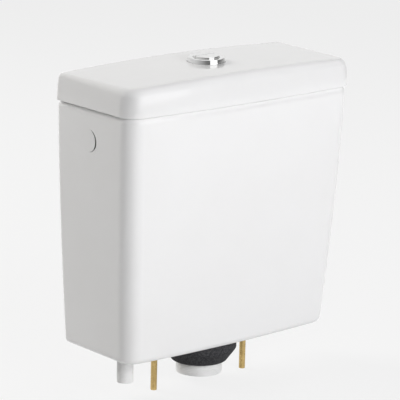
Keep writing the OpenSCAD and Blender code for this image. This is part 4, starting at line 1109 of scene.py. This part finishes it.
def bevel(work, edges, width):
    """Rounds edges of a bmesh."""
    bmesh.ops.bevel(
        work, geom=edges, offset=width, segments=BEVEL_STEPS, profile=BEVEL_ROUND, affect="EDGES",
        clamp_overlap=True)


def button_part(name, side):
    """The disc on one side of the slit: -1 is in front of it and 1 is behind it."""
    piece = turned(name, disc_outline())
    plane = Vector((0, SPLIT_Y + side * SLIT / 2, 0))
    work = bmesh.new()
    work.from_mesh(piece.data)
    bmesh.ops.bisect_plane(
        work, geom=[*work.verts, *work.edges, *work.faces], dist=CUT_REACH, plane_co=plane,
        plane_no=(0, -side, 0), clear_outer=True)
    bmesh.ops.edgeloop_fill(work, edges=[edge for edge in work.edges if edge.is_boundary])
    on_plane = [edge for edge in work.edges if all(abs(v.co.y - plane.y) < PLANE_REACH for v in edge.verts)]
    bevel(work, on_plane, SLIT_BEVEL)
    bmesh.ops.recalc_face_normals(work, faces=work.faces)
    work.to_mesh(piece.data)
    work.free()
    return piece


bezel = turned("chrome_bezel", bezel_outline(), BEZEL_TURN_STEPS)
dress(smoothed(bezel), "button_bezel")
for side, node in ((-1, "full_flush_button"), (1, "half_flush_button")):
    dress(smoothed(button_part("chrome_" + node, side)), node)
print(f"bezel: {2 * bezel_high.x / MM:.0f} mm across, split at {SPLIT_Y / MM} mm")

# %% [markdown]
# ## Side plug
#
# The tank has a second inlet hole in its left wall, so that the supply can come from either side. A plain
# round plug with a rubber seal under its face blanks the one that isn't used. It has the white and the gloss
# of the china. Its face lies flush with the wall at the back and sinks a little towards the front, where a
# narrow gap is left, so only a dark crescent gives it away.

# %% Side plug
PLUG_RIM = 0.3 * MM
PLUG_FACE = 1.2 * MM
PLUG_WEB = 3 * MM
PLUG_BARREL_WALL = 2.2 * MM
PLUG_END_ROLL = 0.4 * MM
PLUG_BORE_ROLL = 0.5 * MM
PLUG_FIT = 0.02 * MM
PLUG_SINK = 0.3 * MM


def polished_plastic():
    """White plastic with a hard gloss, for a piece that should pass for china."""
    made = Finish("polished_plastic", CHINA_WHITE, 0.45, {**CLEAR_GLAZE, "Coat Roughness": 0.03})
    made.colour(made.noise(30, 3), *CHINA_SHADES)
    made.roughness(made.noise(90, 3), 0.36, 0.46)
    return made.material


barrel_end = plug_high.x - plug_low.x
bore_r = PLUG_BARREL - PLUG_BARREL_WALL
plug = turned("side_plug_turned", filleted([
    (0, 0, 0), (plug_r, 0, 0), (plug_r, PLUG_RIM, 0), (PLUG_BARREL, PLUG_FACE, 0),
    (PLUG_BARREL, barrel_end, PLUG_END_ROLL), (bore_r, barrel_end, PLUG_END_ROLL),
    (bore_r, PLUG_WEB, PLUG_BORE_ROLL), (0, PLUG_WEB, 0),
]), FINE_HOLE_STEPS)
wide = plug_hole - PLUG_FIT
front_gap = plug_hole - plug_r + plug_shift
for vertex in plug.data.vertices:
    x, y, z = vertex.co
    if z < (PLUG_RIM + PLUG_FACE) / 2:
        ahead = (1 - y / plug_r) / 2
        x *= wide / plug_r
        y = wide - (2 * wide - front_gap) * ahead
        z += SIDE_TAPER * drawn_in(plug_z - x) - tank_half - plug_wall + PLUG_SINK * ahead
    else:
        y += plug_shift
        z += plug_low.x - plug_wall
    vertex.co = along_plug @ Vector((x, y, z))
dress(smoothed(plug), "side_plug").data.materials[0] = polished_plastic()
print(f"side plug: {2 * plug_r / MM:.1f} mm across, {plug_z / MM:.0f} mm up the wall")

# %% [markdown]
# ## Springs
#
# Each button comes back up on a wound wire spring that stands on the cartridge. A few nodes sweep a round
# profile along a spiral curve to make one, as long as the imported spring, on the body of that spring.

# %% Springs
SPRING_TURNS = 6
SPRING_TURN_STEPS = 28
WIRE_SIDES = 12
SPRING_WIRE = 0.45 * MM


def wire_coil():
    """A round wire along a spiral, standing on a point."""
    coil = Tree("wire_coil", turns="float", turn_steps="int", radius="float", length="float", wire="float",
                wire_sides="int", foot="vector")
    spiral = coil.node("GeometryNodeCurveSpiral", {
        "Resolution": coil.inputs["turn_steps"], "Rotations": coil.inputs["turns"],
        "Start Radius": coil.inputs["radius"], "End Radius": coil.inputs["radius"],
        "Height": coil.inputs["length"]})
    upright = coil.node("GeometryNodeSetCurveNormal", {"Curve": spiral.outputs[0]}, mode="Z_UP")
    round_wire = coil.node("GeometryNodeCurvePrimitiveCircle", {
        "Resolution": coil.inputs["wire_sides"], "Radius": coil.inputs["wire"]})
    swept = coil.node("GeometryNodeCurveToMesh", {
        "Curve": upright.outputs[0], "Profile Curve": round_wire.outputs[0], "Fill Caps": True})
    placed = coil.node("GeometryNodeTransform", {
        "Geometry": swept.outputs[0], "Translation": coil.inputs["foot"]})
    return coil.close(placed.outputs[0])


wire = wire_coil()
for name in ("full", "half"):
    low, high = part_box(name + "_spring")
    foot_point = ((low.x + high.x) / 2, (low.y + high.y) / 2, low.z + SPRING_WIRE)
    length = high.z - low.z - 2 * SPRING_WIRE
    spring = wire.run(
        name + "_return_spring", finishes["steel"], turns=float(SPRING_TURNS), turn_steps=SPRING_TURN_STEPS,
        radius=(high.x - low.x) / 2 - SPRING_WIRE, length=length, wire=SPRING_WIRE, wire_sides=WIRE_SIDES,
        foot=foot_point)
    dress(smoothed(spring), name + "_spring")
    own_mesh(spring)
    print(f"{name} spring: {SPRING_TURNS} turns, {length / MM:.1f} mm long")

# %% [markdown]
# ## Moulded, turned and stamped pieces
#
# The valve parts already have their shape in the frame, but their edges are knife sharp and their curves
# are flat facets. No moulding has a sharp edge, and the light on a rounded one is what makes it look
# real. A copy of each part is merged, its flat faces are joined, its sharp edges get a fine bevel and its
# normals follow the larger faces.

# %% Moulded, turned and stamped pieces
SOFT_EDGE = {
    "white_plastic": 0.45 * MM, "grey_plastic": 0.45 * MM, "blue_plastic": 0.45 * MM, "rubber": 0.5 * MM,
    "foam": 1.2 * MM, "steel": 0.25 * MM, "brass": 0.35 * MM,
}
FLAT_ANGLE = math.radians(0.6)
EDGE_ANGLE = math.radians(32)
MERGE = 0.004 * MM


def is_sharp(edge):
    return len(edge.link_faces) == 2 and edge.calc_face_angle() > EDGE_ANGLE


def softened(node):
    """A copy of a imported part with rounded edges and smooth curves."""
    work = bmesh.new()
    work.from_mesh(frame["nodes"][node].data)
    bmesh.ops.remove_doubles(work, verts=work.verts, dist=MERGE)
    bmesh.ops.dissolve_limit(work, angle_limit=FLAT_ANGLE, verts=work.verts, edges=work.edges)
    bevel(work, [edge for edge in work.edges if is_sharp(edge)], SOFT_EDGE[slot_of[node]])
    bmesh.ops.remove_doubles(work, verts=work.verts, dist=MERGE / 4)
    bmesh.ops.triangulate(work, faces=[face for face in work.faces if len(face.verts) > 4])
    return from_bmesh(node + "_finished", work)


stood_for = {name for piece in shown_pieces() for name in piece.get("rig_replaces", [])}
for node in sorted(set(frame["nodes"]) - stood_for):
    piece = dress(smoothed(softened(node)), node)
    print(f"{node}: {len(piece.data.polygons)} faces, {slot_of[node]}")

# %% [markdown]
# ## Threads
#
# The outlet tail, the inlet shank, the bolts and the bezel's barrel carry real screw threads. A thread is
# one ridge that follows a helix, so the tree of the springs makes it too: a spiral as long as the free
# thread, with a coarse profile that lies about half in the stem.

# %% Threads
THREAD_SIDES = 6
THREAD_TURN_STEPS = 40
THREAD_END = 0.8 * MM
NUT_GAP = 1 * MM
RIDGE_SHARE = 0.3
RIDGE_SUNK = 0.55
TAIL = 29.8 * MM
TAIL_PITCH = 2.31 * MM
SHANK_PITCH = 1.81 * MM
BOLT = 4 * MM
BOLT_PITCH = 1.25 * MM
BARREL_PITCH = 2 * MM


def thread(name, node, r, pitch, x, y, low, high):
    """A ridge round an upright stem."""
    ridge = pitch * RIDGE_SHARE
    length = high - low - 2 * THREAD_END
    piece = wire.run(
        name, finishes[slot_of[node]], turns=length / pitch, turn_steps=THREAD_TURN_STEPS,
        radius=r - ridge * RIDGE_SUNK, length=length, wire=ridge, wire_sides=THREAD_SIDES,
        foot=(x, y, low + THREAD_END))
    smoothed(piece)
    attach(piece, frame["nodes"][node]["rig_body"])


def foot_of(node):
    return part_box(node)[0].z


thread("outlet_thread", "valve_seat", TAIL, TAIL_PITCH, 0, 0, foot_of("valve_seat"),
       foot_of("coupling_gasket") - NUT_GAP)
thread("inlet_thread", "fill_riser", SHANK, SHANK_PITCH, fill_x, fill_y, foot_of("fill_riser"),
       foot_of("shank_backnut") - NUT_GAP)
thread("bezel_thread", "button_bezel", BARREL, BARREL_PITCH, 0, 0, bezel_low.z, foot_of("bezel_backnut"))
for side, label in ((-1, "left"), (1, "right")):
    thread(label + "_bolt_thread", "coupling_bolts", BOLT, BOLT_PITCH, side * bolt_x, 0, bolt_low.z,
           foot_of("bolt_nuts") - NUT_GAP)
print("threads: tail, shank, bezel barrel and two bolts")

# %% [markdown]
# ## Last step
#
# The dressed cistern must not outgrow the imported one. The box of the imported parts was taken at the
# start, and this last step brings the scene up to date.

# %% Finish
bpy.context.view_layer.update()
